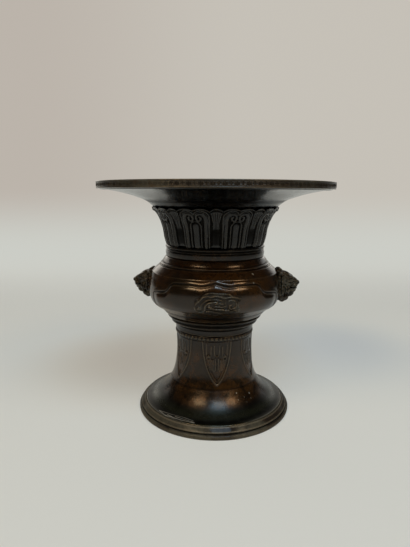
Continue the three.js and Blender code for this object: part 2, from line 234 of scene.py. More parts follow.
def offset(line, distance):
    """A line moved to its left as it runs, by a distance that may change along it."""
    line = np.asarray(line, float)
    step = np.gradient(line, axis=0)
    step /= np.hypot(step[:, 0], step[:, 1])[:, None]
    return line + np.column_stack([-step[:, 1], step[:, 0]]) * np.reshape(distance, (-1, 1))


def blurred(field, times):
    """A field over rows and columns with its detail smoothed away; the columns run full circle."""
    for _ in range(times):
        field = (field + np.roll(field, 1, 1) + np.roll(field, -1, 1)) / 3
        rows = np.vstack([field[:1], field, field[-1:]])
        field = (rows[:-2] + rows[1:-1] + rows[2:]) / 3
    return field


def hollows(wall, relief, times=10):
    """How deep each place lies in its surroundings, in millimetres: grooves are above 0, ridges below."""
    middle = softened(wall.line, 3 * times)
    outline = np.sum((middle - wall.line) * wall.normal, axis=1)
    return outline[:, None] + blurred(relief, times) - relief


def placed(name, data):
    """A new object in the scene."""
    made = bpy.data.objects.new(name, data)
    bpy.context.scene.collection.objects.link(made)
    return made


def object_from(shape, name):
    """A smooth-shaded object from a bmesh, which is then freed."""
    for face in shape.faces:
        face.smooth = True
    mesh = bpy.data.meshes.new(name)
    shape.to_mesh(mesh)
    shape.free()
    return placed(name, mesh)


def spin(shape, profile, axis, angle, steps, centre=(0, 0, 0), closed=False):
    """Spins a profile about an axis."""
    bmesh.ops.spin(shape, geom=profile, cent=centre, axis=axis, dvec=(0, 0, 0), angle=angle,
                   space=Matrix.Identity(4), steps=steps, use_merge=closed, use_normal_flip=False,
                   use_duplicate=False)


def verts_of(result):
    """The vertices that a bmesh operator gives back."""
    return [part for part in result["geom"] if isinstance(part, bmesh.types.BMVert)]


def spin_round(shape, profile, columns):
    """Turns a profile full circle: one sector is spun, and then doubled until it closes on itself."""
    doublings = 4
    while columns % 2**doublings:
        doublings -= 1
    sector = FULL_TURN / 2**doublings
    spin(shape, profile, (0, 0, 1), sector, columns // 2**doublings)
    for _ in range(doublings):
        copied = bmesh.ops.duplicate(shape, geom=shape.verts[:] + shape.edges[:] + shape.faces[:])
        turn = Matrix.Rotation(sector, 3, "Z")
        bmesh.ops.rotate(shape, cent=(0, 0, 0), matrix=turn, verts=verts_of(copied))
        sector *= 2
    bmesh.ops.remove_doubles(shape, verts=shape.verts, dist=MM / 500)
    bmesh.ops.recalc_face_normals(shape, faces=shape.faces)


def turned(name, wall, inside, columns, relief=None, reshape=None, shade=0):
    """A closed shell turned round the upright axis. The wall's rows may carry a relief and a painted shade
    that darkens it, and lightens it as wear where below 0, given for each row and column; the inside runs
    from the top down.
    Angles count from the front towards +X."""
    shape = bmesh.new()
    row = shape.verts.layers.int.new("row")
    ring = []
    for number, (radius, level) in enumerate([*wall.line, *inside]):
        vert = shape.verts.new((0, -radius * MM, level * MM))
        vert[row] = number if number < len(wall.line) else -1
        ring.append(vert)
    edges = [shape.edges.new(pair) for pair in zip(ring, ring[1:] + ring[:1])]
    spin_round(shape, ring + edges, columns)
    piece = object_from(shape, name)
    places = read(piece, "position")
    rows = read(piece, "row")
    angle = np.arctan2(places[:, 0], -places[:, 1])
    column = np.round(angle / FULL_TURN * columns).astype(int) % columns
    radius = np.hypot(places[:, 0], places[:, 1]) / MM
    level = places[:, 2] / MM
    field = np.zeros((len(wall.line), columns)) if relief is None else relief
    out = np.where(rows >= 0, field[rows, column], 0)
    normal = wall.normal[rows]
    radius = radius + out * normal[:, 0]
    level = level + out * normal[:, 1]
    if reshape:
        radius, level = reshape(radius, level, angle)
    write(piece, "position", np.column_stack([radius * np.sin(angle), -radius * np.cos(angle), level]) * MM)
    # hollow: depth of the relief plus the painted shade, which the patina turns into darkness in grooves and
    # wear on ridges
    depth = hollows(wall, field) + shade
    add_attribute(piece, "hollow", np.where(rows >= 0, depth[rows, column], 0))
    piece.data.attributes.remove(piece.data.attributes["row"])
    return piece


def read(piece, name):
    """A vector or a whole number of each of a piece's vertices, as an array."""
    attribute = piece.data.attributes[name]
    is_vector = attribute.data_type == "FLOAT_VECTOR"
    field, width, number = ("vector", 3, np.float32) if is_vector else ("value", 1, np.int32)
    values = np.zeros(len(attribute.data) * width, number)
    attribute.data.foreach_get(field, values)
    return values.reshape(-1, width).astype(float) if width > 1 else values


def write(piece, name, values):
    """Writes an attribute of a piece's vertices from an array."""
    field = "vector" if piece.data.attributes[name].data_type == "FLOAT_VECTOR" else "value"
    piece.data.attributes[name].data.foreach_set(field, np.ravel(values).astype(np.float32))
    piece.data.update()


def add_attribute(piece, name, values):
    """Adds a number at each vertex, which the patina reads."""
    piece.data.attributes.new(name, "FLOAT", "POINT")
    write(piece, name, values)


def settle(piece, material, body, slot, *nodes):
    """Gives a piece its material and its body, and hides the nodes that it stands for; the finish slot is
    not used.
    """
    piece.data.materials.append(material)
    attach(piece, body)
    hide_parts(*nodes)
    return piece


# Cross-sections of a drawn ridge, as powers of its parabola
ROUND = 0.5
DOMED = 1.0
SOFT = 1.6


# Drawing of the ornament: fields over a flat grid, in millimetres across and up
def distance_to(path, across, up):
    """Distance from each place to a line."""
    nearest = np.full(np.broadcast(across, up).shape, np.inf)
    for (x, y), (x_next, y_next) in zip(path, path[1:]):
        run, rise = x_next - x, y_next - y
        share = np.clip(((across - x) * run + (up - y) * rise) / max(run**2 + rise**2, 1e-9), 0, 1)
        nearest = np.minimum(nearest, np.hypot(across - x - share * run, up - y - share * rise))
    return nearest


def ridge(distance, half_width, section=ROUND):
    """A ridge, 1 high in its middle, with a round, domed or soft section."""
    return np.clip(1 - (distance / half_width) ** 2, 0, 1) ** section


def drawn(path, x, y, half_width, section=ROUND):
    """A ridge along a line, at each place of the grid."""
    return ridge(distance_to(path, x, y), half_width, section)


def step_up(value, start, end):
    """A soft step from 0 at start to 1 at end."""
    share = np.clip((value - start) / (end - start), 0, 1)
    return share * share * (3 - 2 * share)


def column_angles(columns):
    """Angle of each column from the front, in degrees from -180 to 180."""
    angle = np.arange(columns) * 360 / columns
    return np.where(angle > 180, angle - 360, angle)


def from_middle(angle, pitch, middle=0):
    """Signed angle to the middle of the nearest repeat."""
    turned_by = (angle - middle) / pitch
    return (turned_by - np.round(turned_by)) * pitch


class Value:
    """A shader socket that takes part in arithmetic: each operation adds a Math node."""

    def __init__(self, finish, socket):
        self.finish = finish
        self.socket = socket

    def __add__(self, other):
        return self.finish.math("ADD", self, other)

    def __sub__(self, other):
        return self.finish.math("SUBTRACT", self, other)

    def __rsub__(self, other):
        return self.finish.math("SUBTRACT", other, self)

    def __mul__(self, other):
        return self.finish.math("MULTIPLY", self, other)

    __radd__ = __add__


class Finish:
    """A shader tree written as expressions, for a material or the world."""

    def __init__(self, owner):
        owner.use_nodes = True
        self.owner = owner
        self.tree = owner.node_tree
        self.tree.nodes.clear()

    def node(self, kind, inputs=None, output=0, **settings):
        """Adds a node: its settings first, then the values or links of its sockets. Returns an output."""
        made = self.tree.nodes.new(kind)
        for key, setting in settings.items():
            setattr(made, key, setting)
        for key, given in (inputs or {}).items():
            socket = made.inputs[key]
            if isinstance(given, Value):
                self.tree.links.new(given.socket, socket)
            else:
                socket.default_value = (*given, 1) if socket.type == "RGBA" else given
        return Value(self, made.outputs[output]) if made.outputs else made

    def math(self, operation, *terms, clamp=False):
        """A sum, a product and the like of its terms."""
        return self.node("ShaderNodeMath", dict(enumerate(terms)), operation=operation, use_clamp=clamp)

    def vector(self, operation, first, second, output=0):
        """A difference, a product and the like of two vectors."""
        return self.node("ShaderNodeVectorMath", {0: first, 1: second}, output, operation=operation)

    def place(self, stretch=None):
        """The place on the object, in metres, which may be stretched."""
        where = self.node("ShaderNodeTexCoord", output="Object")
        return self.node("ShaderNodeMapping", {"Vector": where, "Scale": stretch}) if stretch else where

    def part(self, where, axis):
        """One part of a place or a direction."""
        return self.node("ShaderNodeSeparateXYZ", {"Vector": where}, output=axis)

    def noise(self, where, scale, detail=3, roughness=0.5, distortion=0):
        """Cloudy noise from 0 to 1, with scale repeats to the metre."""
        return self.node("ShaderNodeTexNoise", {"Vector": where, "Scale": scale, "Detail": detail,
                                                "Roughness": roughness, "Distortion": distortion})

    def spots(self, where, scale, radius):
        """Round spots, 1 in their middle."""
        cell = self.node("ShaderNodeTexVoronoi", {"Vector": where, "Scale": scale}, output="Distance")
        return self.soft(cell, radius, 0)

    def soft(self, amount, start, end, to_start=0, to_end=1):
        """A soft step between two numbers."""
        inputs = {"Value": amount, "From Min": start, "From Max": end, "To Min": to_start, "To Max": to_end}
        return self.node("ShaderNodeMapRange", inputs, interpolation_type="SMOOTHSTEP")

    def blend(self, share, first, second):
        """A colour between two colours."""
        return self.node("ShaderNodeMix", {0: share, 6: first, 7: second}, output=2, data_type="RGBA")

    def attribute(self, name):
        """A number kept at the vertices, which is 0 where a mesh has none."""
        return self.node("ShaderNodeAttribute", output="Fac", attribute_name=name)

    def mark(self, where, start, end, half_width):
        """A thin mark on the surface from one place to another, 1 along its middle."""
        run = end - start
        from_start = self.vector("SUBTRACT", where, start)
        along = self.vector("DOT_PRODUCT", from_start, run / run.length_squared, 1)
        share = self.math("ADD", along, 0, clamp=True)
        nearest = self.node("ShaderNodeVectorMath", {0: run, "Scale": share}, operation="SCALE")
        away = self.vector("DISTANCE", from_start, nearest, 1)
        return self.soft(away, half_width, half_width * MARK_CORE)

    def bump(self, height, distance, strength):
        """Normals of a surface that is raised by a height."""
        return self.node("ShaderNodeBump", {"Height": height, "Distance": distance, "Strength": strength})

    def surface(self, **inputs):
        """Closes the tree with a Principled shader."""
        sockets = {name.replace("_", " "): given for name, given in inputs.items()}
        shader = self.node("ShaderNodeBsdfPrincipled", sockets)
        self.node("ShaderNodeOutputMaterial", {"Surface": shader})
        return self.owner


# Patterns of the patina, in repeats to the metre
CLOUDS, MOTTLES, STREAKS, GRAIN, FINE_GRAIN = 22, 110, 240, 1400, 5200
SPECKS, SPECK_FIELDS, PITS, PIT_FIELDS = 330, 60, 900, 170
# Streaks run upright
STREAK_STRETCH = (1, 1, 0.16)
# Share of a mark's half width over which it is full
MARK_CORE = 0.35
SKIN_DEPTH = 0.00012
WAX_ROUGHNESS = 0.08
# Heights in metres over which the warm colour comes up the stem and leaves it
FLUSH_COMES, FLUSH_GOES = 0.008, 0.03
GREEN_FADE = 0.004


def bronze(name, main, second, warm, gloss, wear, dust, polish, flush=None, edge=None, marks=()):
    """Waxed bronze patina: cloudy base colours, grooves darkened by dark patina and painted shade, worn
    ridges, a grain of small pits. It is flushed with the warm colour between two heights, turns green under
    an edge, and may carry marks."""
    finish = bpy.context.scene.vase_finish
    made = Finish(bpy.data.materials.new(name))
    where = made.place()
    height = made.part(where, "Z")
    hollow = made.attribute("hollow")
    cloud = made.noise(where, CLOUDS, 3, 0.55)
    mottle = made.noise(where, MOTTLES, 5, 0.62, 0.6)
    streak = made.noise(made.place(STREAK_STRETCH), STREAKS, 4, 0.6)
    grain = made.noise(where, GRAIN, 4, 0.6)
    fine = made.noise(where, FINE_GRAIN, 2, 0.5)

    share = made.soft(cloud + (mottle - 0.5) * 0.5, 0.40, 0.62)
    tone = made.blend(share, getattr(finish, main), getattr(finish, second))
    tone = made.blend(made.soft(mottle + (cloud - 0.5) * 0.6, 0.56, 0.74) * 0.6, tone, getattr(finish, warm))
    if flush:
        bottom, top = flush
        zone = made.soft(height, bottom, bottom + FLUSH_COMES) * made.soft(height, top, top - FLUSH_GOES)
        tone = made.blend(zone * made.soft(mottle + (cloud - 0.5) * 0.7, 0.34, 0.62), tone, finish.warm)
    tone = made.blend(made.soft(streak, 0.46, 0.72) * 0.35, tone, finish.black)
    if edge:
        under = made.soft(height + (cloud - 0.5) * GREEN_FADE, edge + GREEN_FADE, edge)
        tone = made.blend(under * 0.9, tone, finish.green)
    # Grooves and hollows are darkened towards black: dark patina there, and painted shade where the hollow
    # attribute carries it
    groove = made.soft(hollow, 0.03, 0.32)
    tone = made.blend(groove * 0.85, tone, finish.black)
    powder = made.soft(hollow, 0.12, 0.4) * made.soft(grain + mottle * 0.5, 0.72, 0.92) * dust
    tone = made.blend(powder, tone, finish.dust)
    # Ridges are rubbed to bare bronze as wear; the foot ring's painted edge highlights come in here too
    rubbed = made.soft((mottle - 0.5) * 0.16 - hollow, 0.09, 0.36) * (0.14 * wear)
    tone = made.blend(rubbed * made.soft(grain, 0.35, 0.6, 0.4, 1), tone, finish.bare)
    specks = made.spots(where, SPECKS, 0.16) * made.soft(made.noise(where, SPECK_FIELDS, 2), 0.52, 0.66)
    tone = made.blend(specks * 0.35, tone, finish.dust)
    # Marks: scratches and specks, and the belly pit's painted highlight and painted shade
    for start, end, half_width, strength in marks:
        mark = made.mark(where, start, end, half_width) * made.soft(grain, 0.3, 0.5, 0.45, 1)
        tone = made.blend(mark * abs(strength), tone, finish.scratch if strength > 0 else finish.black)

    rough = gloss + (mottle - 0.5) * 0.22 + (grain - 0.5) * 0.12
    pits = made.spots(where, PITS, 0.3) * made.soft(made.noise(where, PIT_FIELDS, 2), 0.48, 0.62)
    skin = grain * 0.5 + fine * 0.12 + mottle * 0.8 - pits * 0.6
    return made.surface(
        Base_Color=tone,
        Metallic=rubbed * 0.5 + 0.3 + groove * 0.65,
        Roughness=rough + groove * 0.18 + powder * 0.4 - rubbed * 0.08,
        IOR=polish,
        Coat_Weight=made.soft(groove + powder, 0, 0.8, 0.1, 0),
        Coat_Roughness=WAX_ROUGHNESS,
        Normal=made.bump(skin, SKIN_DEPTH, 0.55),
    )


# Scratches on the left of the foot: where each starts and ends, as an angle from the front and a
# radius, then its half width and how far it is bare
FOOT_SCRATCHES = [
    ((-45, 72.6), (-30.5, 71.2), 0.455, 0.75), ((-36.3, 69.4), (-19.2, 70.9), 0.455, 0.9),
    ((-21, 70.6), (-18.6, 71.3), 0.91, 1.0), ((-54, 71.3), (-40, 68.6), 0.35, 0.6),
    ((-40, 68.6), (-28, 67.8), 0.35, 0.6), ((-28, 67.8), (-19.8, 69.2), 0.35, 0.7),
    ((-30.5, 71.2), (-19.2, 71.6), 0.49, 0.9), ((-54, 71.3), (-45, 72.6), 0.35, 0.5),
    ((-44, 70.6), (-36, 71.6), 0.42, 0.8),
]
# Pale specks on the right of the foot: angle, radius, level and half width
FOOT_SPECKS = [
    (25.2, 48.8, 30.4, 0.8), (43, 51.3, 27, 0.9), (33.7, 52.3, 25.6, 0.5), (41.8, 54.9, 23.1, 0.6),
    (24.9, 53.1, 24.8, 0.45), (34.3, 56.4, 21.6, 0.45),
]
# A small pit on the right of the belly, its rim a painted highlight and its middle painted shade, and a pale
# spot: as above, and a strength, which is below 0 where the mark is dark
BELLY_SPOTS = [
    (32.6, 61.1, 154.2, 1.1, 1.0), (31.6, 63.2, 152.2, 1.1, -1.0), (29.5, 66.4, 147.0, 1.1, 0.45),
]


def foot_marks():
    """Marks of the foot, as the photograph shows them."""
    wall = stem_wall(bpy.context.scene.vase_shape)
    slope = wall.level < BAND_BASE / 2

    def on_slope(turn, radius):
        """The place on the foot's slope at an angle and a radius."""
        level = np.interp(radius, wall.radius[slope][::-1], wall.level[slope][::-1])
        return at(turn, radius, float(level))

    scratches = [(on_slope(*start), on_slope(*end), width * MM, strength)
                 for start, end, width, strength in FOOT_SCRATCHES]
    return scratches + [(at(turn, radius - 1, rise), at(turn, radius + 1, rise), width * MM, 0.9)
                        for turn, radius, rise, width in FOOT_SPECKS]


def belly_marks():
    """Marks of the belly, as the photograph shows them."""
    return [(at(turn, radius - 2, rise), at(turn, radius + 3, rise), width * MM, strength)
            for turn, radius, rise, width, strength in BELLY_SPOTS]


# Main, second and warm colour of each patina, its roughness, wear, dust and refractive index
PATINAS = {
    "dish_patina": ("black", "dark", "brown", 0.16, 0.4, 0.12, 1.63),
    "rim_patina": ("brown", "olive", "warm", 0.36, 3.2, 0.3, 1.5),
    "collar_patina": ("dark", "black", "dark", 0.27, 0.5, 0.08, 1.5),
    "belly_patina": ("brown", "warm", "dark", 0.19, 1.2, 0.15, 1.55),
    "ring_patina": ("dark", "brown", "warm", 0.24, 1.0, 0.12, 1.45),
    "stem_patina": ("brown", "dark", "warm", 0.21, 2.6, 0.2, 1.5),
    "olive_patina": ("olive", "brown", "dark", 0.66, 3.6, 0.5, 1.32),
    "mask_patina": ("olive", "brown", "dark", 0.4, 3.5, 0.3, 1.5),
    "cast_patina": ("brown", "olive", "dark", 0.3, 2.6, 0.2, 1.55),
    "bare_bronze": ("bare", "brown", "olive", 0.4, 0.5, 0.25, 1.5),
}
# Warm zone of the stem and upper end of the foot's green edge, in metres over the floor
STEM_FLUSH = (0.017, 0.085)
GREEN_EDGE = 0.0165
_materials = {}


def patina(kind):
    """One of the patinas as a material, made once."""
    if kind not in _materials:
        more = {}
        if kind == "belly_patina":
            more = {"marks": belly_marks()}
        if kind == "stem_patina":
            more = {"flush": STEM_FLUSH, "edge": GREEN_EDGE, "marks": foot_marks()}
        _materials[kind] = bronze(kind, *PATINAS[kind], **more)
    return _materials[kind]


# Outlines of the sections
def parts_of(radii, levels, parts, spacings):
    """Strokes of a wall, drawn as shares between two radii and two levels. Each part goes on from the
    end of the one before it and has its own spacing."""
    starts = [[], *(part[-1:] for part in parts)]
    return [(between(radii, levels, start + part), spacing)
            for start, part, spacing in zip(starts, parts, spacings)]


def foot_ring_wall():
    """Base bead, groove and sloping band of the foot ring."""
    bead = [[0.62, 0], [0.9, 0.02], [1, 0.12], [1, 0.28], [0.86, 0.4], [0.66, 0.46]]
    groove = [[0.65, 0.5], [0.66, 0.55]]
    slope = [[0.7, 0.6], [0.5, 0.74], [0.27, 0.88], [0.16, 0.95]]
    seat = [[0.08, 0.99], [0.06, 1]]
    return Wall(parts_of([FOOT_RADIUS, BASE_RADIUS], [0, FOOT_TOP], (bead, groove, slope, seat), [0.3] * 4))


def stem_radius(shape):
    """Radius of the stem's shaft."""
    return BAND_RADIUS - shape.band_step / MM


def spigot_radius(shape):
    """Outer radius of the stem's spigot in the socket under the belly."""
    return stem_radius(shape) - SPIGOT_STEP


def socket_radius(shape):
    """Inner radius of the socket, and of the stem band on the spigot."""
    return spigot_radius(shape) + SEAM


def stem_wall(shape):
    """Foot edge, concave flare and shaft of the stem."""
    edge = [[1, -0.035], [1.0, -0.008], [0.99, 0.004], [0.975, 0.006], [0.955, 0.0035]]
    flare = [[0.82, 0.025], [0.56, 0.1], [0.35, 0.2], [0.177, 0.32]]
    shaft = [[0.122, 0.39], [0.085, 0.45], [0.052, 0.53], [0.027, 0.62], [0.008, 0.72], [0, 0.82],
             [0, 0.91], [0.008, 1]]
    return Wall(parts_of([stem_radius(shape), FOOT_RADIUS], [FOOT_TOP, BAND_BASE], (edge, flare, shaft),
                         (0.3, 1.0, 0.42)), 2)


def band_wall(shape):
    """Bead strip, groove and plain band above the stem."""
    strip = [[0.2, 0], [0.5, 0.03], [0.55, 0.08], [0.55, 0.36], [0.5, 0.4]]
    groove = [[0.1, 0.44], [0.5, 0.48]]
    plain = [[0.95, 0.5], [0.88, 0.6], [0.86, 0.72], [0.95, 0.84], [1, 0.87], [0.95, 0.9]]
    top = [[0.55, 0.93], [0.75, 1]]
    return Wall(parts_of([stem_radius(shape), BAND_RADIUS], [BAND_BASE + SEAM, RING_BASE],
                         (strip, groove, plain, top), [0.3] * 4))


def ring_wall():
    """Bead, hollow and upper bead of the ring under the belly."""
    bead = [[0.12, 0], [0.34, 0.05], [0.5, 0.16], [0.54, 0.28], [0.5, 0.4]]
    hollow = [[0.52, 0.5], [0.62, 0.6], [0.76, 0.68]]
    ring = [[0.84, 0.7], [0.97, 0.78], [1, 0.88], [0.93, 0.98], [0.8, 1]]
    return Wall(parts_of([BAND_RADIUS, RING_RADIUS], [RING_BASE + SEAM, BELLY_BASE - SEAM],
                         (bead, hollow, ring), [0.3] * 3))


def shoulder_level(shape):
    """Level of the groove between belly and shoulder."""
    return NECK_BASE - shape.shoulder_height / MM


def neck_radius(shape):
    """Radius of the neck under the ring's bead."""
    return reach("neck_ring") - shape.neck_bead / MM


def shoulder_radius(shape):
    """Radius of the shoulder at its groove."""
    return neck_radius(shape) + shape.shoulder_step / MM


def belly_wall(shape):
    """Taper, round belly and the groove at its top."""
    levels = [BELLY_BASE, shoulder_level(shape)]
    taper = [[-0.02, 0], [0.113, 0.029], [0.293, 0.108], [0.54, 0.18], [0.74, 0.238]]
    corner = [[0.8, 0.256], [0.848, 0.276]]
    swell = [[0.91, 0.326], [0.967, 0.393], [1, 0.5], [0.989, 0.62], [0.929, 0.729], [0.862, 0.806],
             [0.807, 0.87]]
    slope = [[0.691, 0.908], [0.48, 0.975]]
    body = parts_of([RING_RADIUS, BELLY_RADIUS], levels, (taper, corner, swell, slope),
                    (1.2, 0.5, 0.5, 0.35))
    groove = [[0.19, 0.975], [0.12, 0.99], [-0.05, 0.992]]
    return Wall(body + parts_of([shoulder_radius(shape), BELLY_RADIUS], levels, (groove,), (0.35,)))


def shoulder_wall(shape):
    """Thin ring on the groove and the rounded shoulder."""
    ring = [[1, -0.05], [0.86, 0], [0.97, 0.1], [0.97, 0.2], [0.84, 0.26], [0.72, 0.28]]
    shoulder = [[0.7, 0.34], [0.66, 0.44], [0.52, 0.62], [0.36, 0.8], [0.22, 0.92], [0.04, 1]]
    return Wall(parts_of([neck_radius(shape), shoulder_radius(shape)], [shoulder_level(shape), NECK_BASE],
                         (ring, shoulder), (0.3, 0.5)))


def neck_ring_wall(shape):
    """Two mouldings of the neck ring."""
    lower = [[0, 0], [0.35, 0.03], [0.7, 0.14], [0.85, 0.3], [0.88, 0.44], [0.5, 0.49], [0.1, 0.5]]
    middle = [[0.1, 0.53], [0.55, 0.56], [0.55, 0.62], [0.05, 0.65], [0, 0.7]]
    upper = [[0.3, 0.73], [0.95, 0.79], [1, 0.85], [0.8, 0.93], [0.2, 1]]
    return Wall(parts_of([neck_radius(shape), reach("neck_ring")], [NECK_BASE + SEAM, COLLAR_BASE],
                         (lower, middle, upper), [0.25] * 3))


def collar_line(shape, inset=0):
    """Outer line of the collar from the neck to its overhanging edge."""
    shares = [[0, 0], [0.09, 0.11], [0.16, 0.23], [0.23, 0.4], [0.31, 0.51], [0.42, 0.64], [0.58, 0.77],
              [0.79, 0.89], [0.93, 0.965]]
    return between([neck_radius(shape), COLLAR_RADIUS], [COLLAR_BASE + inset, MOUTH], shares)


def collar_inside(shape, gap=0):
    """Inner line of the collar, whose wall thins towards its edge; the dish's throat keeps a gap to it."""
    line = spaced(smooth(collar_line(shape)), 2)
    share = way_along(line) / way_along(line)[-1]
    thickness = (shape.wall + (shape.lip - shape.wall) * share**2) / MM
    return offset(line, thickness + gap)


def throat_line(shape):
    """Outer line of the dish's throat, a seam inside the collar."""
    line = collar_inside(shape, SEAM)
    return line[line[:, 1] > COLLAR_BASE + shape.wall / MM + SEAM]


# The dish's flare, as shares of the way out from the collar to the rim and of the way up
DISH_FLARE = [[0.05, 0.21], [0.11, 0.34], [0.22, 0.48], [0.46, 0.71], [0.73, 0.89]]


def on_flare(shape, shares):
    """Points of the dish's underside at shares of the way from the collar's edge to the rim."""
    return between([COLLAR_RADIUS, RIM_RADIUS], [MOUTH, TOP - shape.rim_band / MM], shares)


def dish_wall(shape):
    """Throat, flared underside with its thin ring, and the dish's edge under the rim band."""
    throat = throat_line(shape)
    flare = [tuple(throat[-1]), *on_flare(shape, [*DISH_FLARE, [0.9, 0.963]])]
    bead = on_flare(shape, [[0.9, 0.963], [0.905, 0.94], [0.925, 0.94], [0.935, 0.975]])
    edge = on_flare(shape, [[0.935, 0.975], [0.965, 0.99], [0.985, 1.0]])
    inner_face = [(RIM_RADIUS - 1.0, TOP - shape.rim_band / MM + 0.2), (RIM_RADIUS - 1.0, TOP - 0.5)]
    top = [(RIM_RADIUS - 1.0, TOP - 0.5), (RIM_RADIUS - 1.5, TOP - 0.15), (RIM_RADIUS - 2.4, TOP - 0.05)]
    return Wall([(throat, 1.5), (flare, 0.9), (bead, 0.3), (edge, 0.5), (inner_face, 1.0), (top, 0.4)])


def dish_floor(shape):
    """Inside of the dish from its lip down the throat."""
    lip = RIM_RADIUS - shape.rim_width / MM
    under = np.vstack([throat_line(shape), on_flare(shape, [*DISH_FLARE, [0.88, 0.955]])])
    floor = offset(spaced(smooth(under[::2]), 1.5), shape.wall / MM)[::-1]
    edge = [(lip + 1.2, TOP - 0.1), (lip, TOP - 0.35), (lip - 0.9, TOP - 1.3), (lip - 1.8, TOP - 2.9)]
    return [*spaced(smooth(edge), 0.5), *floor[floor[:, 0] < lip - 3]]


def rim_wall(shape):
    """Outside of the rim band: lower edge, field for the key fret, proud upper bead."""
    lower = [[0.2, -0.02], [0.62, 0], [0.82, 0.05], [0.8, 0.12], [0.45, 0.15]]
    field = [[0.42, 0.3], [0.42, 0.6], [0.45, 0.77]]
    bead = [[0.85, 0.8], [1, 0.86], [1, 0.93], [0.8, 0.985], [0.2, 1]]
    return Wall(parts_of([RIM_RADIUS - 1, RIM_RADIUS], [TOP - shape.rim_band / MM, TOP],
                         (lower, field, bead), [0.28] * 3))


# Relief of the collar: one lappet is drawn in shares of its half pitch across and of its height up
COLLAR_TURN = -2.5
LAPPET_HALF = 19.9
LAPPET_HEIGHT = 40
SCROLL = [(0.50, -0.02), (0.50, 0.3), (0.51, 0.55), (0.53, 0.68), (0.50, 0.77), (0.41, 0.83),
          (0.28, 0.853), (0.15, 0.83), (0.085, 0.775), (0.10, 0.72), (0.19, 0.695), (0.27, 0.72),
          (0.29, 0.765), (0.25, 0.785)]
CONTOUR = [(0.665, -0.02), (0.665, 0.5), (0.685, 0.7), (0.665, 0.83), (0.57, 0.9), (0.42, 0.935),
           (0.26, 0.94), (0.1, 0.915), (0.0, 0.85)]
INNER_CONTOUR = [(0.605, 0.3), (0.615, 0.55), (0.625, 0.69), (0.6, 0.8), (0.53, 0.86), (0.41, 0.895),
                 (0.28, 0.9), (0.14, 0.88), (0.04, 0.83)]
ARCH_HALF = 5.4
ARCH_TOP = 27.2


def lappet_relief(across, up):
    """Height of the lappet ornament, from 0 in the grooves to 1, at shares across and up."""
    x, y = across * LAPPET_HALF, up * LAPPET_HEIGHT

    def curve(points, half_width):
        """A ridge along a smooth line through some points."""
        path = smooth([(a * LAPPET_HALF, b * LAPPET_HEIGHT) for a, b in points], 6)
        return drawn(path, x, y, half_width)

    arch_centre = ARCH_TOP - ARCH_HALF
    from_arch = np.where(y < arch_centre, x, np.hypot(x, y - arch_centre))
    arch = ridge(from_arch - ARCH_HALF, 0.8)
    tongue = ridge(from_arch, ARCH_HALF - 1.3, DOMED)
    scroll = np.maximum(curve(SCROLL[:6], 2.1), curve(SCROLL[4:], 1.3))
    contour = np.maximum(curve(CONTOUR, 0.8), curve(INNER_CONTOUR, 0.4) * 0.75)
    leaf_half = np.interp(up, [0, 0.5, 0.62, 0.8, 0.93], [3.4, 3.2, 2.9, 4.6, 5.9])
    from_leaf = (1 - across) * LAPPET_HALF / leaf_half
    leaf = step_up(1.08 - from_leaf, 0, 0.16) * step_up(0.925 - up, 0, 0.02)
    ribs = (0.45 + 0.55 * np.cos(np.pi * from_leaf * 2.5) ** 2) * leaf
    ribs = ribs * np.interp(up, [0.45, 0.66], [0.08, 0.95])
    lip = step_up(up, 0.945, 0.965)
    parts = [scroll, contour * 0.95, arch * 0.9, tongue * 0.75, ribs, lip]
    return np.maximum.reduce([np.broadcast_to(part, x.shape) for part in parts])


# Share of a half lappet at which its petal meets the leaf between two lappets
PETAL_END = 0.72


def lobes(across):
    """How far the collar's upper edge is let down, from 0 on the lobes to 1 in the notches."""
    side = np.abs(across)
    petal = np.abs(np.sin(np.pi * across / PETAL_END)) ** 0.6
    leaf = np.sin(np.pi / 2 * np.clip((side - PETAL_END) / (1 - PETAL_END), 0, 1)) ** 0.6
    return np.where(side > PETAL_END, 1 - leaf, (1 - petal) * (0.55 + 0.45 * side / PETAL_END))


# Ribbons of the belly: the middle line of the double ribbon, in degrees from the middle of the
# cartouche and millimetres over the belly's base
CARTOUCHE_TURN = -3
RIBBON = [(0, 43.2), (3.5, 42.0), (8, 40.7), (12, 40.2), (18, 40.8), (27, 40.8), (34, 40.3), (37.5, 38.4),
          (40, 34.6), (43, 32.0), (49, 30.6), (57, 29.2), (60.5, 27.4), (62, 23), (62.5, 16), (61.5, 11.5)]
# Way from that line to each of the two, their half width and their height, in millimetres
RIBBON_APART = 1.35
RIBBON_HALF = 0.95
RIBBON_RISE = 0.36
# The panel inside the ribbon rises over a bevel, and fades out at its sides and above the taper
PANEL_BEVEL = 6.5
PANEL_RISE = 1.9
PANEL_SIDE = 14
PANEL_FOOT = (11, 24)


def ribbon_middle():
    """Middle line of the ribbon round half a cartouche, in millimetres from its middle and up."""
    scale = math.radians(1) * BELLY_RADIUS
    return smooth([(degrees * scale, rise + BELLY_BASE) for degrees, rise in RIBBON], 6)


def from_cartouche(angle):
    """Way round the belly from the middle of the nearest cartouche, in millimetres."""
    return np.abs(from_middle(angle, 180, CARTOUCHE_TURN)) * (math.radians(1) * BELLY_RADIUS)


def ribbon_shade(angle, level):
    """How far the ribbon's lines are rubbed bright as wear, below 0, and the gap between them painted dark
    as shade, above 0.
    """
    distance = distance_to(ribbon_middle(), from_cartouche(angle), level)
    return 0.5 * ridge(distance, 0.9) - 0.3 * ridge(distance - RIBBON_APART, 0.8)


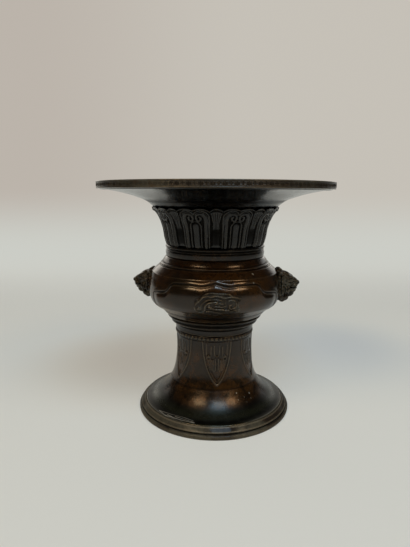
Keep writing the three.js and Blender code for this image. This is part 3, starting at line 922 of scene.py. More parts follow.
def cartouche_relief(angle, level):
    """Height of the cartouches on the belly, in millimetres: their double ribbons and raised fields."""
    across = from_cartouche(angle)
    path = ribbon_middle()
    lines = ridge(distance_to(path, across, level) - RIBBON_APART, RIBBON_HALF, SOFT) * RIBBON_RISE
    rising = path[: path[:, 0].argmax() + 1]
    above = level - np.interp(across, rising[:, 0], rising[:, 1])
    inwards = rising[-1, 0] - across
    under = np.clip(-above, 0, PANEL_BEVEL) / PANEL_BEVEL
    field = (1 - (1 - under) ** 1.6) * PANEL_RISE
    low_edge = step_up(level, BELLY_BASE + PANEL_FOOT[0], BELLY_BASE + PANEL_FOOT[1])
    return lines + step_up(inwards, -0.5, 0.5) * step_up(inwards, 0, PANEL_SIDE) * low_edge * field


# Hanging blade: half its width is 1 at the beads and closes to its tip
BLADE_HALF = 14.3
BLADE_TURN = 0.8
BLADE_FIELD = 0.12


def blade_relief(x, down, length):
    """Height of a blade's ornament, at millimetres from its middle line and down from the beads."""

    def width_at(share):
        """Share of the blade's full width at a share of its length."""
        return (1 - share**2.2) ** 0.9

    share = np.linspace(0, 1, 40)
    edge_line = np.column_stack([BLADE_HALF * width_at(share), share * length])
    inner_line = np.column_stack([(BLADE_HALF - 2.3) * width_at(share), share * (length - 3.2)])
    inside = (x < BLADE_HALF * width_at(np.clip(down / length, 0, 1))) & (down < length)
    border = drawn(edge_line, x, down, 0.95, SOFT) * 0.7
    inner = drawn(inner_line, x, down, 0.7, SOFT) * 0.5
    loop = smooth([(10.6, 1.5), (10.4, 8), (10.3, 14), (9.4, 18.2), (7.4, 18.6), (6.2, 15.5), (5.9, 9),
                   (5.7, 4.5)], 6)
    hook = smooth([(2.6, 3), (2.7, 8), (2.3, 12.5), (1.2, 14.6), (0, 15)], 6)
    bar = [(1.6, 17), (1.3, 29)]
    lines = [drawn(path, x, down, 0.8, SOFT) * 0.65 for path in (loop, hook, bar)]
    fringe = [drawn([(a, 18.5), (a * 0.8, b)], x, down, 0.75, SOFT) * 0.65
              for a, b in ((3.5, 30.5), (5.2, 29.5), (6.9, 28.5), (8.6, 26.5))]
    eye = ridge(np.hypot(x - 8.2, down - 15.2), 1.7)
    spine = ridge(x, 0.5) * step_up(down, length - 9, length - 8) * step_up(length - 1 - down, 0, 1) * -0.6
    field = np.where(inside, BLADE_FIELD, 0)
    ornament = np.maximum.reduce([field, border, inner, eye, *fringe, *lines])
    return np.where(inside | (border > 0), ornament + spine, 0)


# Key fret of the rim: one unit is a pair of square spirals, in shares of its width and of the field
FRET = [(0.06, 0.08), (0.06, 0.92), (0.44, 0.92), (0.44, 0.3), (0.2, 0.3), (0.2, 0.66), (0.32, 0.66)]


def fret_relief(across, up, width, height):
    """Height of the key fret, at shares of a unit's width and of the field's height."""
    half = np.minimum(across, 1 - across)
    x, y = half * width, up * height
    path = [(a * width, b * height) for a, b in FRET]
    join = [path[0], (0.5 * width, path[0][1])]
    distance = np.minimum(distance_to(path, x, y), distance_to(join, x, y))
    return ridge(distance, 0.42) * ((up > 0) & (up < 1))


# Beast mask: places are the way out from the wall, the way to one side and the height over the middle
MASK_BASE = 62
MASK_TURN = -8
MASK_LUMPS = [
    # centre                 half axes          tilt
    ((5.5, 0, -1.5), (7.0, 14.8, 16.8), 0),
    ((9.5, 0, 3.8), (11.5, 11.3, 9.2), 24),
    ((17.5, 0, 1.6), (8.6, 6.0, 6.0), 20),
    ((24.2, 0, 0.8), (2.6, 3.4, 2.6), 0),
    ((18.6, 0, -4.6), (5.8, 5.4, 4.2), 50),
    ((15.4, 0, -8.6), (6.2, 6.0, 5.6), 42),
    ((10.6, 0, -13.8), (5.6, 6.8, 5.0), 40),
]
MASK_SIDE_LUMPS = [
    ((16.4, 5.2, 6.9), (4.6, 3.9, 2.3), 22),
    ((18.2, 5.4, 3.7), (1.9, 1.9, 1.8), 0),
    ((20.4, 3.8, -2.6), (4.2, 3.2, 3.3), 12),
    ((12.5, 8.2, -5.0), (4.4, 3.4, 5.0), 0),
    ((9.2, 3.6, -17.2), (2.8, 2.8, 2.6), 0),
    ((13.2, 2.9, -14.2), (2.3, 2.3, 2.3), 0),
    ((6.6, 7.8, -13.6), (3.4, 3.4, 3.4), 0),
    ((6.6, 12.4, -7.6), (3.2, 3.0, 3.2), 0),
    ((6.4, 13.6, -0.6), (3.0, 2.8, 3.2), 0),
    ((5.4, 9.4, 11.2), (3.2, 3.4, 2.8), 0),
    ((4.2, 3.6, 13.4), (3.2, 3.2, 2.5), 0),
]
EAR = (10.4, 10.9, 6.0)
EAR_RADII = (2.7, 1.0)
MASK_CUTS = [
    # line seen from the side                                        half width, depth
    ([(13.5, -5.0), (17.0, -4.0), (20.6, -4.2), (24.0, -3.4)], 0.8, 1.2),
    ([(12.6, 3.0), (13.6, 5.0), (15.4, 4.6)], 0.6, 0.6),
    ([(15.2, 2.4), (18.0, 1.3), (20.6, 2.6)], 0.5, 0.7),
    ([(15.8, 5.6), (18.6, 5.6), (20.8, 4.2)], 0.45, 0.7),
    ([(20.6, 0.2), (22.2, 1.6), (22.4, 3.6)], 0.4, 0.5),
    ([(18.2, -1.4), (20.2, 0.2), (20.6, 2.0)], 0.4, 0.4),
    ([(24.0, 0.2), (25.0, 0.6)], 0.7, 0.8),
    ([(7.2, 9.6), (7.0, 2.0), (7.2, -5.0), (8.2, -10.6)], 0.75, 1.0),
    ([(9.2, -1.0), (11.4, -3.6), (11.8, -8.0)], 0.5, 0.6),
    ([(11.4, 0.2), (13.8, -2.6), (14.2, -6.4)], 0.5, 0.5),
    ([(17.8, -8.6), (15.2, -13.6)], 0.45, 0.6),
    ([(15.8, -8.0), (13.0, -13.4)], 0.45, 0.6),
    ([(13.6, -8.2), (10.8, -14.0)], 0.45, 0.6),
    ([(19.4, -8.2), (17.6, -12.2)], 0.45, 0.5),
    ([(5.0, 14.0), (9.5, 13.4), (14.0, 10.6)], 0.5, 0.5),
    ([(8.0, 10.6), (11.6, 10.4), (14.4, 8.4)], 0.5, 0.5),
]
MASK_GRAIN = 0.36


def beast_head():
    """The head's lumps and curled ears joined into one skin, in millimetres round its own middle."""
    shape = bmesh.new()

    def lump(centre, axes, tilt):
        """An ellipsoid that is tilted in side view."""
        turn = Matrix.Rotation(math.radians(tilt), 4, "Y")
        place = Matrix.Translation(centre) @ turn @ Matrix.Diagonal((*axes, 1))
        bmesh.ops.create_uvsphere(shape, u_segments=24, v_segments=16, radius=1, matrix=place)

    for centre, axes, tilt in MASK_LUMPS:
        lump(centre, axes, tilt)
    for side in (-1, 1):
        for (out, across, up), axes, tilt in MASK_SIDE_LUMPS:
            lump((out, across * side, up), axes, tilt)
        centre = Vector((EAR[0], EAR[1] * side, EAR[2]))
        lump(centre, (1.5, 1.3, 1.5), 0)
        place = Matrix.Translation(centre + Vector((EAR_RADII[0], 0, 0)))
        section = bmesh.ops.create_circle(shape, segments=12, radius=EAR_RADII[1], matrix=place)["verts"]
        edges = list({edge for vert in section for edge in vert.link_edges})
        spin(shape, section + edges, (0, 1, 0), FULL_TURN, 28, centre, closed=True)
    bmesh.ops.recalc_face_normals(shape, faces=shape.faces)
    return object_from(shape, "beast_head")


def applied(piece, name):
    """A copy of a piece with its modifiers applied, in place of the piece."""
    graph = bpy.context.evaluated_depsgraph_get()
    mesh = bpy.data.meshes.new_from_object(piece.evaluated_get(graph))
    bpy.data.objects.remove(piece)
    mesh.name = name
    return placed(name, mesh)


def vertex_normals(piece):
    """The normal at each of a piece's vertices."""
    normals = np.zeros(len(piece.data.vertices) * 3, np.float32)
    piece.data.vertex_normals.foreach_get("vector", normals)
    return normals.reshape(-1, 3).astype(float)


def mask(name, wall, side, length, height, lift):
    """A beast mask on one side of the belly, sculpted from joined lumps and cut with grooves. Length and
    height are shares of the drawn head's; its snout is lifted."""
    head = beast_head()
    skin = head.modifiers.new("skin", "REMESH")
    skin.mode = "VOXEL"
    skin.voxel_size = MASK_GRAIN
    skin.use_smooth_shade = True
    ease = head.modifiers.new("ease", "SMOOTH")
    ease.factor = 0.5
    ease.iterations = 3
    piece = applied(head, name)
    places = read(piece, "position")
    normal = vertex_normals(piece)
    out, across, up = places.T
    flank = step_up(np.abs(normal[:, 1]), 0.12, 0.4)
    cut = np.zeros(len(out))
    for path, half_width, depth in MASK_CUTS:
        nib = drawn(smooth(path, 5), out, up, half_width) * depth
        cut = np.maximum(cut, nib * np.where(out > 22, 1, flank))
    around = np.arctan2(up, np.abs(across))
    locks = np.cos(around * 26 + out * 0.7) * 0.28 * step_up(9.5 - out, 0, 2)
    locks = locks * step_up(np.hypot(across, up), 9, 12)
    from_ear = np.hypot(out - EAR[0], up - EAR[2])
    curls = np.cos(from_ear * 4.2 + around) * 0.16 * step_up(8 - from_ear, 0, 3)
    beard = np.cos(across * 2.6 + up * 0.9) * 0.22 * step_up(-9 - up, 0, 2)
    places += normal * (locks + curls * flank + beard - cut)[:, None]
    out, across, up = places.T
    radius = MASK_BASE + out * length
    level = (low("mask_right") + high("mask_right")) / 2 + up * height + lift * np.clip(out / 20, 0, 1)
    turn = math.radians(90 + MASK_TURN if side > 0 else -90 + MASK_TURN)
    x = radius * math.sin(turn) + across * math.cos(turn)
    y = -radius * math.cos(turn) + across * math.sin(turn)
    from_axis = np.hypot(x, y)
    seat = np.interp(level, wall.level, wall.radius) + 0.02
    grow = np.where(from_axis < seat, seat / from_axis, 1)
    write(piece, "position", np.column_stack([x * grow, y * grow, level]) * MM)
    shape = bmesh.new()
    shape.from_mesh(piece.data)
    bmesh.ops.recalc_face_normals(shape, faces=shape.faces)
    shape.to_mesh(piece.data)
    shape.free()
    piece.data.shade_smooth()
    # Painted shade in the cuts and in the troughs of locks, curls and beard; their crests are rubbed bright
    # as wear
    add_attribute(piece, "hollow", cut * 0.7 - locks * 0.6 - curls - beard * 0.6 - 0.05)
    return piece


# Medallion: its outline, ridges, lumps and grooves, in millimetres from its middle
MEDALLION_OUTLINE = [
    (-14.8, 9.8), (-11.2, 12.1), (-6.7, 12.9), (-1.3, 12.3), (4.4, 12.2), (9.2, 11.4), (12.1, 9.5),
    (16.2, 8.7), (19.8, 7.5), (20.2, 5.3), (18.2, 2.2), (18.4, -1.0), (20.0, -3.7), (19.5, -6.4),
    (15.2, -6.9), (10.3, -7.5), (4.4, -8.0), (1.3, -9.1), (-3.8, -10.4), (-7.4, -9.6), (-10.3, -8.8),
    (-14.8, -8.3), (-18.9, -7.4), (-22.3, -5.6), (-23.2, -1.9), (-21.6, 0.9), (-22.7, 3.2),
    (-21.2, 5.6), (-18.4, 7.2),
]
MEDALLION_RIDGES = [
    # line, half width, height
    ([(-14.4, 9.5), (-11.1, 11.4), (-6.7, 12.2), (-1.3, 11.7), (4.4, 11.6), (9.0, 10.8),
      (11.7, 9.2)], 0.64, 1.3),
    ([(-14.7, 8.4), (-10.6, 9.2), (-6.8, 8.8), (-3.1, 9.8), (1.6, 8.8), (5.3, 7.9), (10.0, 8.7),
      (14.7, 7.8),
      (18.7, 6.8)], 0.72, 1.9),
    ([(-21.6, 0.9), (-19.3, 3.2), (-17.1, 5.2), (-14.6, 8.2)], 1.2, 1.7),
    ([(-22.0, -1.5), (-21.4, -4.1), (-19.0, -6.2), (-14.6, -7.4)], 0.72, 1.3),
    ([(-16.4, -3.2), (-15.9, 0.6), (-13.6, 3.7), (-9.8, 5.6), (-5.2, 6.5), (-0.0, 6.2),
      (2.9, 4.9)], 0.64, 1.4),
    ([(-12.9, -4.0), (-12.5, -0.2), (-10.3, 2.5), (-6.5, 3.7), (-1.9, 4.0)], 1.12, 1.6),
    ([(-3.9, 2.0), (-0.2, 2.8), (3.1, 2.1)], 0.64, 1.7),
    ([(-4.6, -0.2), (-0.8, -0.1), (2.7, -0.6), (5.5, 0.2)], 0.72, 1.7),
    ([(-9.2, -0.9), (-6.7, -2.3), (-3.0, -3.2), (1.3, -3.5), (4.6, -4.1), (8.6, -4.0)], 1.2, 1.8),
    ([(-11.3, -5.7), (-7.0, -5.3), (-3.2, -5.9), (0.9, -6.9), (5.7, -6.6)], 0.88, 1.4),
    ([(7.9, 5.2), (11.0, 5.9), (14.1, 4.6), (15.4, 1.9), (14.7, -1.0), (12.1, -2.7), (9.4, -1.9),
      (9.0, 0.2),
      (10.8, 1.4)], 0.76, 1.7),
    ([(5.3, 5.6), (5.7, 2.8), (6.2, 0.6)], 0.56, 1.3),
    ([(10.1, -5.6), (14.0, -4.8), (17.8, -5.7)], 0.8, 1.4),
    ([(17.6, 5.3), (16.9, 2.0), (17.3, -1.7)], 0.56, 1.1),
    ([(-7.9, -8.5), (-3.9, -9.3), (-0.0, -8.3)], 0.56, 1.1),
]
MEDALLION_LUMPS = [
    # centre and radius, height
    ((-18.4, -3.2, 2.04), 1.5), ((-19.3, 5.3, 1.19), 1.1), ((-9.0, 0.6, 1.44), 1.5),
    ((-0.0, 1.1, 0.85), 1.9), ((17.8, -4.0, 1.36), 1.4), ((11.9, -0.6, 0.94), 1.5),
    ((-14.4, -5.6, 1.19), 1.3), ((4.6, -1.7, 0.77), 1.3), ((14.3, -6.9, 0.77), 1.0),
    ((8.4, 9.6, 0.68), 1.0), ((-11.1, 10.1, 0.68), 1.0), ((-1.1, 10.6, 0.59), 1.0),
]
MEDALLION_GROOVES = [
    ([(-10.3, 3.6), (-7.4, 4.8), (-2.8, 5.2)], 0.5, 0.6),
    ([(-10.9, -2.0), (-8.9, -1.5), (-7.4, -2.0)], 0.4, 0.6),
    ([(-7.0, -3.3), (-6.1, -1.7)], 0.3, 0.4), ([(-4.3, -4.1), (-3.9, -2.1)], 0.3, 0.4),
    ([(-1.3, -4.4), (-1.1, -2.3)], 0.3, 0.4), ([(1.4, -4.7), (1.8, -2.5)], 0.3, 0.4),
    ([(4.2, -5.2), (4.9, -3.2)], 0.3, 0.4), ([(7.0, -4.9), (7.5, -3.0)], 0.3, 0.4),
]


# Grid of a medallion: columns round it, rows from its middle to its edge, and rows over its back
MEDALLION_COLUMNS, MEDALLION_ROWS, BACK_ROWS = 540, 72, 3


def medallion(name, wall, shape, facing):
    """A cast medallion on the belly: a disc grown to its bracketed outline and raised into relief."""
    flat = bmesh.new()
    rows = MEDALLION_ROWS + BACK_ROWS
    bmesh.ops.create_grid(flat, x_segments=MEDALLION_COLUMNS, y_segments=rows, size=1)
    grid = np.array([vert.co[:2] for vert in flat.verts]) * 0.5 + 0.5
    angle = grid[:, 0] * FULL_TURN
    row = grid[:, 1] * rows
    share = np.clip(row / MEDALLION_ROWS, 0, 1)
    outline = smooth([*MEDALLION_OUTLINE, MEDALLION_OUTLINE[0]], 10)
    heading = np.arctan2(outline[:, 1], outline[:, 0]) % FULL_TURN
    order = np.argsort(heading)
    reach_there = np.interp(angle, heading[order], np.hypot(*outline.T)[order], period=FULL_TURN)
    back = np.clip(row - MEDALLION_ROWS, 0, BACK_ROWS) / BACK_ROWS
    distance = share * reach_there * (1 - back)
    u, v = distance * np.cos(angle), distance * np.sin(angle)
    from_edge = (1 - share) * reach_there
    height = 0.75 * step_up(from_edge, 0, 0.5) + 0.35 * ridge(from_edge - 0.9, 0.6)
    for path, half_width, lift in MEDALLION_RIDGES:
        height = np.maximum(height, 0.55 + lift * drawn(smooth(path, 5), u, v, half_width))
    for (x, y, radius), lift in MEDALLION_LUMPS:
        height = np.maximum(height, 0.5 + lift * ridge(np.hypot(u - x, v - y), radius))
    for path, half_width, depth in MEDALLION_GROOVES:
        height = height - depth * drawn(smooth(path, 5), u, v, half_width)
    height = np.minimum(height, shape.medallion_relief / MM) * step_up(from_edge, -0.01, 0.35)
    height = np.where(back > 0, -0.05, height)
    level = (low("medallion_front") + high("medallion_front")) / 2 + v - 1
    turn = u / BELLY_RADIUS + facing
    rise = cartouche_relief(np.degrees(turn), np.minimum(level, BELLY_BASE + 38))
    radius = np.interp(level, wall.level, wall.radius) + rise + height
    places = np.column_stack([radius * np.sin(turn), -radius * np.cos(turn), level]) * MM
    for vert, place in zip(flat.verts, places):
        vert.co = place
    # Painted shade: the lower the medallion's relief lies, the darker it is painted; its highest ridges are
    # rubbed bright as wear
    depth = flat.verts.layers.float.new("hollow")
    for vert, value in zip(flat.verts, 1.15 - height):
        vert[depth] = value * 0.5 if value < 0 else value * 0.3
    bmesh.ops.remove_doubles(flat, verts=flat.verts, dist=MM / 200)
    bmesh.ops.recalc_face_normals(flat, faces=flat.faces)
    return object_from(flat, name)


# Columns of the turned pieces that carry no repeating ornament
DISH_COLUMNS, RING_COLUMNS, BELLY_COLUMNS = 360, 480, 680
# Columns to each lappet, blade, bead and pair of key frets
LAPPET_COLUMNS, BLADE_COLUMNS, BEAD_COLUMNS, FRET_COLUMNS = 80, 80, 12, 18
# Depth of the lappets as a share of the collar's wall, and the height that lies on the wall's surface
LAPPET_DEPTH, LAPPET_GROUND = 0.62, 0.62
# How far the collar's edge is let down in the notches, how much of that also goes inwards, and from
# how far below the edge
SCALLOP_DROP, SCALLOP_LEAN, SCALLOP_REACH = 3.0, 0.25, 9
# The rim's field for its fret, as shares of the band's height down to it and of its own height
FRET_DOWN, FRET_TALL = 0.83, 0.58
# Height of the fret, and half width and height of the beads
FRET_RISE = 0.42
BEAD_SIZE, BEAD_RISE = 1.75, 0.95


class Builder(bpy.types.Operator):
    """Base of the operators that build pieces of the vase"""

    bl_options = {"REGISTER", "UNDO"}

    def execute(self, context):
        self.build(context.scene.vase_shape)
        return {"FINISHED"}


class VASE_OT_dish(Builder):
    """Dish with its throat, flared bowl and key-fret rim"""

    bl_idname = "vase.dish"
    bl_label = "Dish"

    def build(self, shape):
        dish = turned("dish_bowl", dish_wall(shape), dish_floor(shape), DISH_COLUMNS)
        settle(dish, patina("dish_patina"), "dish", "dark_bronze", "dish")
        wall = rim_wall(shape)
        columns = shape.fret_units * FRET_COLUMNS
        unit = FULL_TURN * RIM_RADIUS / shape.fret_units
        rim_band = shape.rim_band / MM
        field_base, field_height = TOP - rim_band * FRET_DOWN, rim_band * FRET_TALL
        across = (np.arange(columns) * shape.fret_units / columns % 1)[None, :]
        up = ((wall.level - field_base) / field_height)[:, None]
        relief = fret_relief(across, up, unit, field_height) * FRET_RISE
        inside = [(RIM_RADIUS - 1.8, TOP - 0.25), (RIM_RADIUS - 1.8, TOP - rim_band + 0.4)]
        rim = turned("rim_band", wall, inside, columns, relief, shade=-0.3 * relief)
        settle(rim, patina("rim_patina"), "dish", "dark_bronze", "dish")


class VASE_OT_collar(Builder):
    """Petal collar with its scalloped edge and its spigot"""

    bl_idname = "vase.collar"
    bl_label = "Petal collar"

    def build(self, shape):
        wall_thickness = shape.wall / MM
        spigot_outer = neck_radius(shape) - 2 * wall_thickness - 2 * SEAM
        spigot_inner = spigot_outer - wall_thickness
        outline = collar_line(shape, SEAM)
        edge_top = [outline[-1], (COLLAR_RADIUS - 0.15, MOUTH - 0.75), (COLLAR_RADIUS - 0.05, MOUTH - 0.35),
                    (COLLAR_RADIUS - 0.5, MOUTH)]
        wall = Wall([([(spigot_inner, NECK_BASE + SEAM), (spigot_outer, NECK_BASE + SEAM)], 3),
                     ([(spigot_outer, NECK_BASE + SEAM), (spigot_outer, COLLAR_BASE + SEAM)], 3),
                     ([(spigot_outer, COLLAR_BASE + SEAM), outline[0]], 2),
                     (outline, 0.42), (edge_top, 0.3)])
        inside = collar_inside(shape)[::-1]
        ledge = COLLAR_BASE + wall_thickness
        inside = inside[inside[:, 1] > ledge]
        inside = [(COLLAR_RADIUS - 1.2, MOUTH), *inside[1:], (inside[-1][0], ledge), (spigot_inner, ledge)]
        columns = shape.lappets * LAPPET_COLUMNS
        pitch = 360 / shape.lappets
        middle = pitch / 2 + COLLAR_TURN
        across = np.abs(from_middle(column_angles(columns), pitch, middle)) / (pitch / 2)
        up = np.clip((wall.level - COLLAR_BASE) / (MOUTH - COLLAR_BASE), 0, 1)
        on_outside = (wall.radius > neck_radius(shape) - 1) & (wall.level > COLLAR_BASE + SEAM)
        share = up[:, None] + 0 * across[None, :]
        height = lappet_relief(np.broadcast_to(across, share.shape), share)
        depth = LAPPET_DEPTH * (wall_thickness + (shape.lip / MM - wall_thickness) * up**2)
        relief = np.where(on_outside[:, None], (height - LAPPET_GROUND) * depth[:, None], 0)

        def scalloped(radius, level, angle):
            """Lets the edge down between its lobes."""
            side = from_middle(np.degrees(angle), pitch, middle) / (pitch / 2)
            drop = lobes(side) * SCALLOP_DROP * step_up(level, MOUTH - SCALLOP_REACH, MOUTH)
            return radius - drop * SCALLOP_LEAN, level - drop

        # Painted shade: the deeper the lappet ornament lies, the darker the collar is painted
        shade = np.where(on_outside[:, None], (1 - height) ** 1.8 * 0.36 - 0.05, 0)
        collar = turned("petal_collar_cast", wall, inside, columns, relief, scalloped, shade)
        settle(collar, patina("collar_patina"), "vase", "dark_bronze", "petal_collar")


class VASE_OT_neck_ring(Builder):
    """Ring of two mouldings between collar and shoulder"""

    bl_idname = "vase.neck_ring"
    bl_label = "Neck ring"

    def build(self, shape):
        wall = neck_ring_wall(shape)
        inner = neck_radius(shape) - shape.wall / MM
        inside = [(inner, COLLAR_BASE), (inner, NECK_BASE + SEAM)]
        ring = turned("neck_ring_cast", wall, inside, RING_COLUMNS)
        settle(ring, patina("ring_patina"), "vase", "brown_bronze", "neck_ring")


class VASE_OT_belly(Builder):
    """Belly with its double ribbons, its shoulder, neck tube and lower socket"""

    bl_idname = "vase.belly"
    bl_label = "Belly"

    def build(self, shape):
        wall = belly_wall(shape)
        thickness = shape.wall / MM
        tube_outer = neck_radius(shape) - thickness - SEAM
        tube_inner = tube_outer - thickness
        socket = socket_radius(shape)
        cavity = offset(spaced(wall.line, 5), thickness + 0.6)
        level = cavity[:, 1]
        cavity = cavity[(level > BELLY_BASE + thickness + 1) & (level < shoulder_level(shape) - 4)]
        inside = [(tube_inner, shoulder_level(shape) - 1), *cavity[::-1], (socket, BELLY_BASE + thickness),
                  (socket, RING_BASE + SEAM), (socket + thickness, RING_BASE + SEAM),
                  (socket + thickness, BELLY_BASE)]
        places = (column_angles(BELLY_COLUMNS)[None, :], wall.level[:, None])
        belly = turned("belly_cast", wall, inside, BELLY_COLUMNS, cartouche_relief(*places),
                       shade=ribbon_shade(*places))
        settle(belly, patina("belly_patina"), "vase", "brown_bronze", "belly")
        inside = [(tube_outer, NECK_BASE), (tube_outer, COLLAR_BASE), (tube_inner, COLLAR_BASE),
                  (tube_inner, shoulder_level(shape) - 0.7)]
        shoulder = turned("shoulder_cast", shoulder_wall(shape), inside, RING_COLUMNS)
        settle(shoulder, patina("belly_patina"), "vase", "brown_bronze", "belly")


class VASE_OT_lower_ring(Builder):
    """Beads and hollow of the ring under the belly"""

    bl_idname = "vase.lower_ring"
    bl_label = "Lower ring"

    def build(self, shape):
        inner = socket_radius(shape) + shape.wall / MM + SEAM
        inside = [(inner, BELLY_BASE - SEAM), (inner, RING_BASE + SEAM)]
        ring = turned("lower_ring_cast", ring_wall(), inside, RING_COLUMNS)
        settle(ring, patina("ring_patina"), "vase", "brown_bronze", "lower_ring")


class VASE_OT_stem_band(Builder):
    """Plain band over the stem with its row of beads"""

    bl_idname = "vase.stem_band"
    bl_label = "Stem band"

    def build(self, shape):
        wall = band_wall(shape)
        columns = shape.beads * BEAD_COLUMNS
        pitch = FULL_TURN * stem_radius(shape) / shape.beads
        across = (np.arange(columns) * shape.beads / columns + 0.5) % 1 - 0.5
        middle = BAND_BASE + SEAM + 0.22 * (RING_BASE - BAND_BASE)
        away = np.hypot(across[None, :] * pitch, wall.level[:, None] - middle)
        relief = ridge(away, BEAD_SIZE) * BEAD_RISE
        inner = socket_radius(shape)
        inside = [(inner, RING_BASE), (inner, BAND_BASE + SEAM)]
        band = turned("stem_band_cast", wall, inside, columns, relief, shade=-0.3 * relief)
        settle(band, patina("stem_patina"), "vase", "dark_bronze", "stem_band")


class VASE_OT_stem(Builder):
    """Stem with its hanging blades, flaring to the foot"""

    bl_idname = "vase.stem"
    bl_label = "Stem and foot"

    def build(self, shape):
        wall = stem_wall(shape)
        thickness = shape.wall / MM
        spigot = spigot_radius(shape)
        cavity = offset(spaced(wall.line, 6), thickness)
        cavity = cavity[(cavity[:, 1] > FOOT_TOP + 1) & (cavity[:, 1] < BAND_BASE - thickness)]
        ledge = FOOT_TOP - thickness
        inside = [(spigot, BAND_BASE), (spigot, BELLY_BASE + SEAM), (spigot - thickness, BELLY_BASE + SEAM),
                  (spigot - thickness, BAND_BASE - thickness), *cavity[::-1],
                  (FOOT_RADIUS - 3 * thickness, ledge), (FOOT_RADIUS, ledge)]
        columns = shape.blades * BLADE_COLUMNS
        across = np.abs(from_middle(column_angles(columns), 360 / shape.blades, BLADE_TURN))
        x = np.radians(across)[None, :] * (stem_radius(shape) + 0.3)
        down = (BAND_BASE - wall.level)[:, None] + 0 * x
        relief = blade_relief(np.broadcast_to(x, down.shape), down, shape.blade_length / MM)
        rubbed = -0.2 * np.clip(relief - BLADE_FIELD, 0, None)
        stem = turned("stem_foot_cast", wall, inside, columns, relief, shade=rubbed)
        settle(stem, patina("stem_patina"), "vase", "brown_bronze", "stem_foot")


class VASE_OT_foot_ring(Builder):
    """Stepped ring that the foot sits in"""

    bl_idname = "vase.foot_ring"
    bl_label = "Foot ring"

    def build(self, shape):
        thickness = shape.wall / MM
        ledge = FOOT_TOP - thickness - SEAM
        seat = FOOT_RADIUS + SEAM
        inside = [(seat, ledge), (seat - 2 * thickness, ledge), (seat - 2 * thickness, thickness),
                  (seat - 3 * thickness, thickness), (seat - 3 * thickness, 0)]
        wall = foot_ring_wall()
        # Painted highlights: the ring's top edge and a line lower down are painted as bright bare bronze
        edges = ridge(wall.level - FOOT_TOP + 0.6, 0.6) + 0.8 * ridge(wall.level - FOOT_TOP * 0.64, 0.5)
        ring = turned("foot_ring_cast", wall, inside, RING_COLUMNS, shade=-0.45 * edges[:, None])
        settle(ring, patina("olive_patina"), "vase", "olive_bronze", "foot_ring")


class VASE_OT_masks(Builder):
    """Beast masks on both sides of the belly"""

    bl_idname = "vase.masks"
    bl_label = "Beast masks"

    def build(self, shape):
        wall = belly_wall(shape)
        for name, side, *shares in (("mask_right", 1, 1.0, 1.0, 0), ("mask_left", -1, 0.98, 0.89, -0.7)):
            piece = mask(name + "_cast", wall, side, *shares)
            settle(piece, patina("mask_patina"), "vase", "olive_bronze", name)


class VASE_OT_medallions(Builder):
    """Cast medallions on the front and the back of the belly"""

    bl_idname = "vase.medallions"
    bl_label = "Medallions"

    def build(self, shape):
        wall = belly_wall(shape)
        for name, facing in (("medallion_front", 0), ("medallion_back", math.pi)):
            piece = medallion(name + "_cast", wall, shape, facing)
            settle(piece, patina("cast_patina"), "vase", "olive_bronze", name)


class VASE_OT_fastenings(Builder):
    """Finish of the rivets, pins and base plate, which keep their own shapes"""

    bl_idname = "vase.fastenings"
    bl_label = "Rivets, pins and base plate"

    def build(self, shape):
        for name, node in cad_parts.items():
            if "rivet" in name or "pin" in name or name == "base_plate":
                node.data.materials.clear()
                node.data.materials.append(patina("bare_bronze"))


def area_light(name, place, aim, width, height, power, tint=(1, 1, 1)):
    """A soft rectangular lamp that faces a point."""
    lamp = bpy.data.lights.new(name, "AREA")
    lamp.shape = "RECTANGLE"
    lamp.size, lamp.size_y = width, height
    lamp.energy = power
    lamp.color = tint
    holder = placed(name, lamp)
    holder.location = place
    holder.rotation_euler = (Vector(aim) - Vector(place)).to_track_quat("-Z", "Y").to_euler()
    holder.visible_camera = False


# Soft lamps, which face a point in the vase: azimuth from the front and elevation in degrees, width and
# height in metres, watts, tint
LAMP_DISTANCE = 1.7
LAMP_AIM = (0, 0, 0.1)
LAMPS = [
    ("lamp_left", -43, 50, 0.54, 0.40, 6.4, (1.0, 0.72, 0.42)),
    ("lamp_right", 45, 47, 0.50, 0.36, 4.8, (1.0, 0.72, 0.42)),
    ("window", 13, 61, 0.62, 0.56, 11.0, (0.50, 0.76, 1.0)),
    ("back_left", -147, 18, 1.3, 0.4, 1.7, (1.0, 0.98, 0.90)),
    ("back_right", 143, 18, 1.3, 0.4, 1.3, (0.98, 0.98, 0.95)),
]


# The room's light grows towards the back and fades upwards: for each, two parts of a direction and the
# strengths there. Then its colour, and the strength that the camera sees
ROOM_BACK = (0.4, 0.97, 0.03, 0.4)
ROOM_UP = (0.25, 0.75, 1, 0.3)
ROOM_TINT = (0.98, 0.97, 0.95)
ROOM_SEEN = 0.62


def light_room(world):
    """A studio that is pale at the back and the sides and dim in front, where the camera stands."""
    made = Finish(world)
    direction = made.node("ShaderNodeTexCoord", output="Generated")
    lit = made.soft(made.part(direction, "Y"), *ROOM_BACK) * made.soft(made.part(direction, "Z"), *ROOM_UP)
    seen = made.node("ShaderNodeLightPath", output="Is Camera Ray")
    strength = made.node("ShaderNodeMix", {0: seen, 2: lit, 3: ROOM_SEEN})
    light = made.node("ShaderNodeBackground", {"Color": ROOM_TINT, "Strength": strength})
    made.node("ShaderNodeOutputWorld", {"Surface": light})


# Paper of the floor and backdrop. Metres behind the vase between which its lit floor turns into an even
# colour, metres to the side between which reflections of that colour end and beyond which reflections see
# the paper painted black, a painted dark reflection, and metres up between which floor turns into wall
PAPER_TURNS = (0.35, 1.2)
PAPER_SIDES = (1.5, 0.7)
PAPER_RISES = (0.0, 0.26)
# Metres to the side between which the backdrop takes its left colour, a painted shade that darkens its left
BACKDROP_SIDES = (0.3, -0.8)
# Middles and radius of the painted warm and cool shadows on the paper beside the vase
WARM_SHADOW_MIDDLE = (-0.13, 0.12, 0)
COOL_SHADOW_MIDDLE = (0.2, 0.18, 0)
PAINTED_SHADOW_RADIUS = 0.17
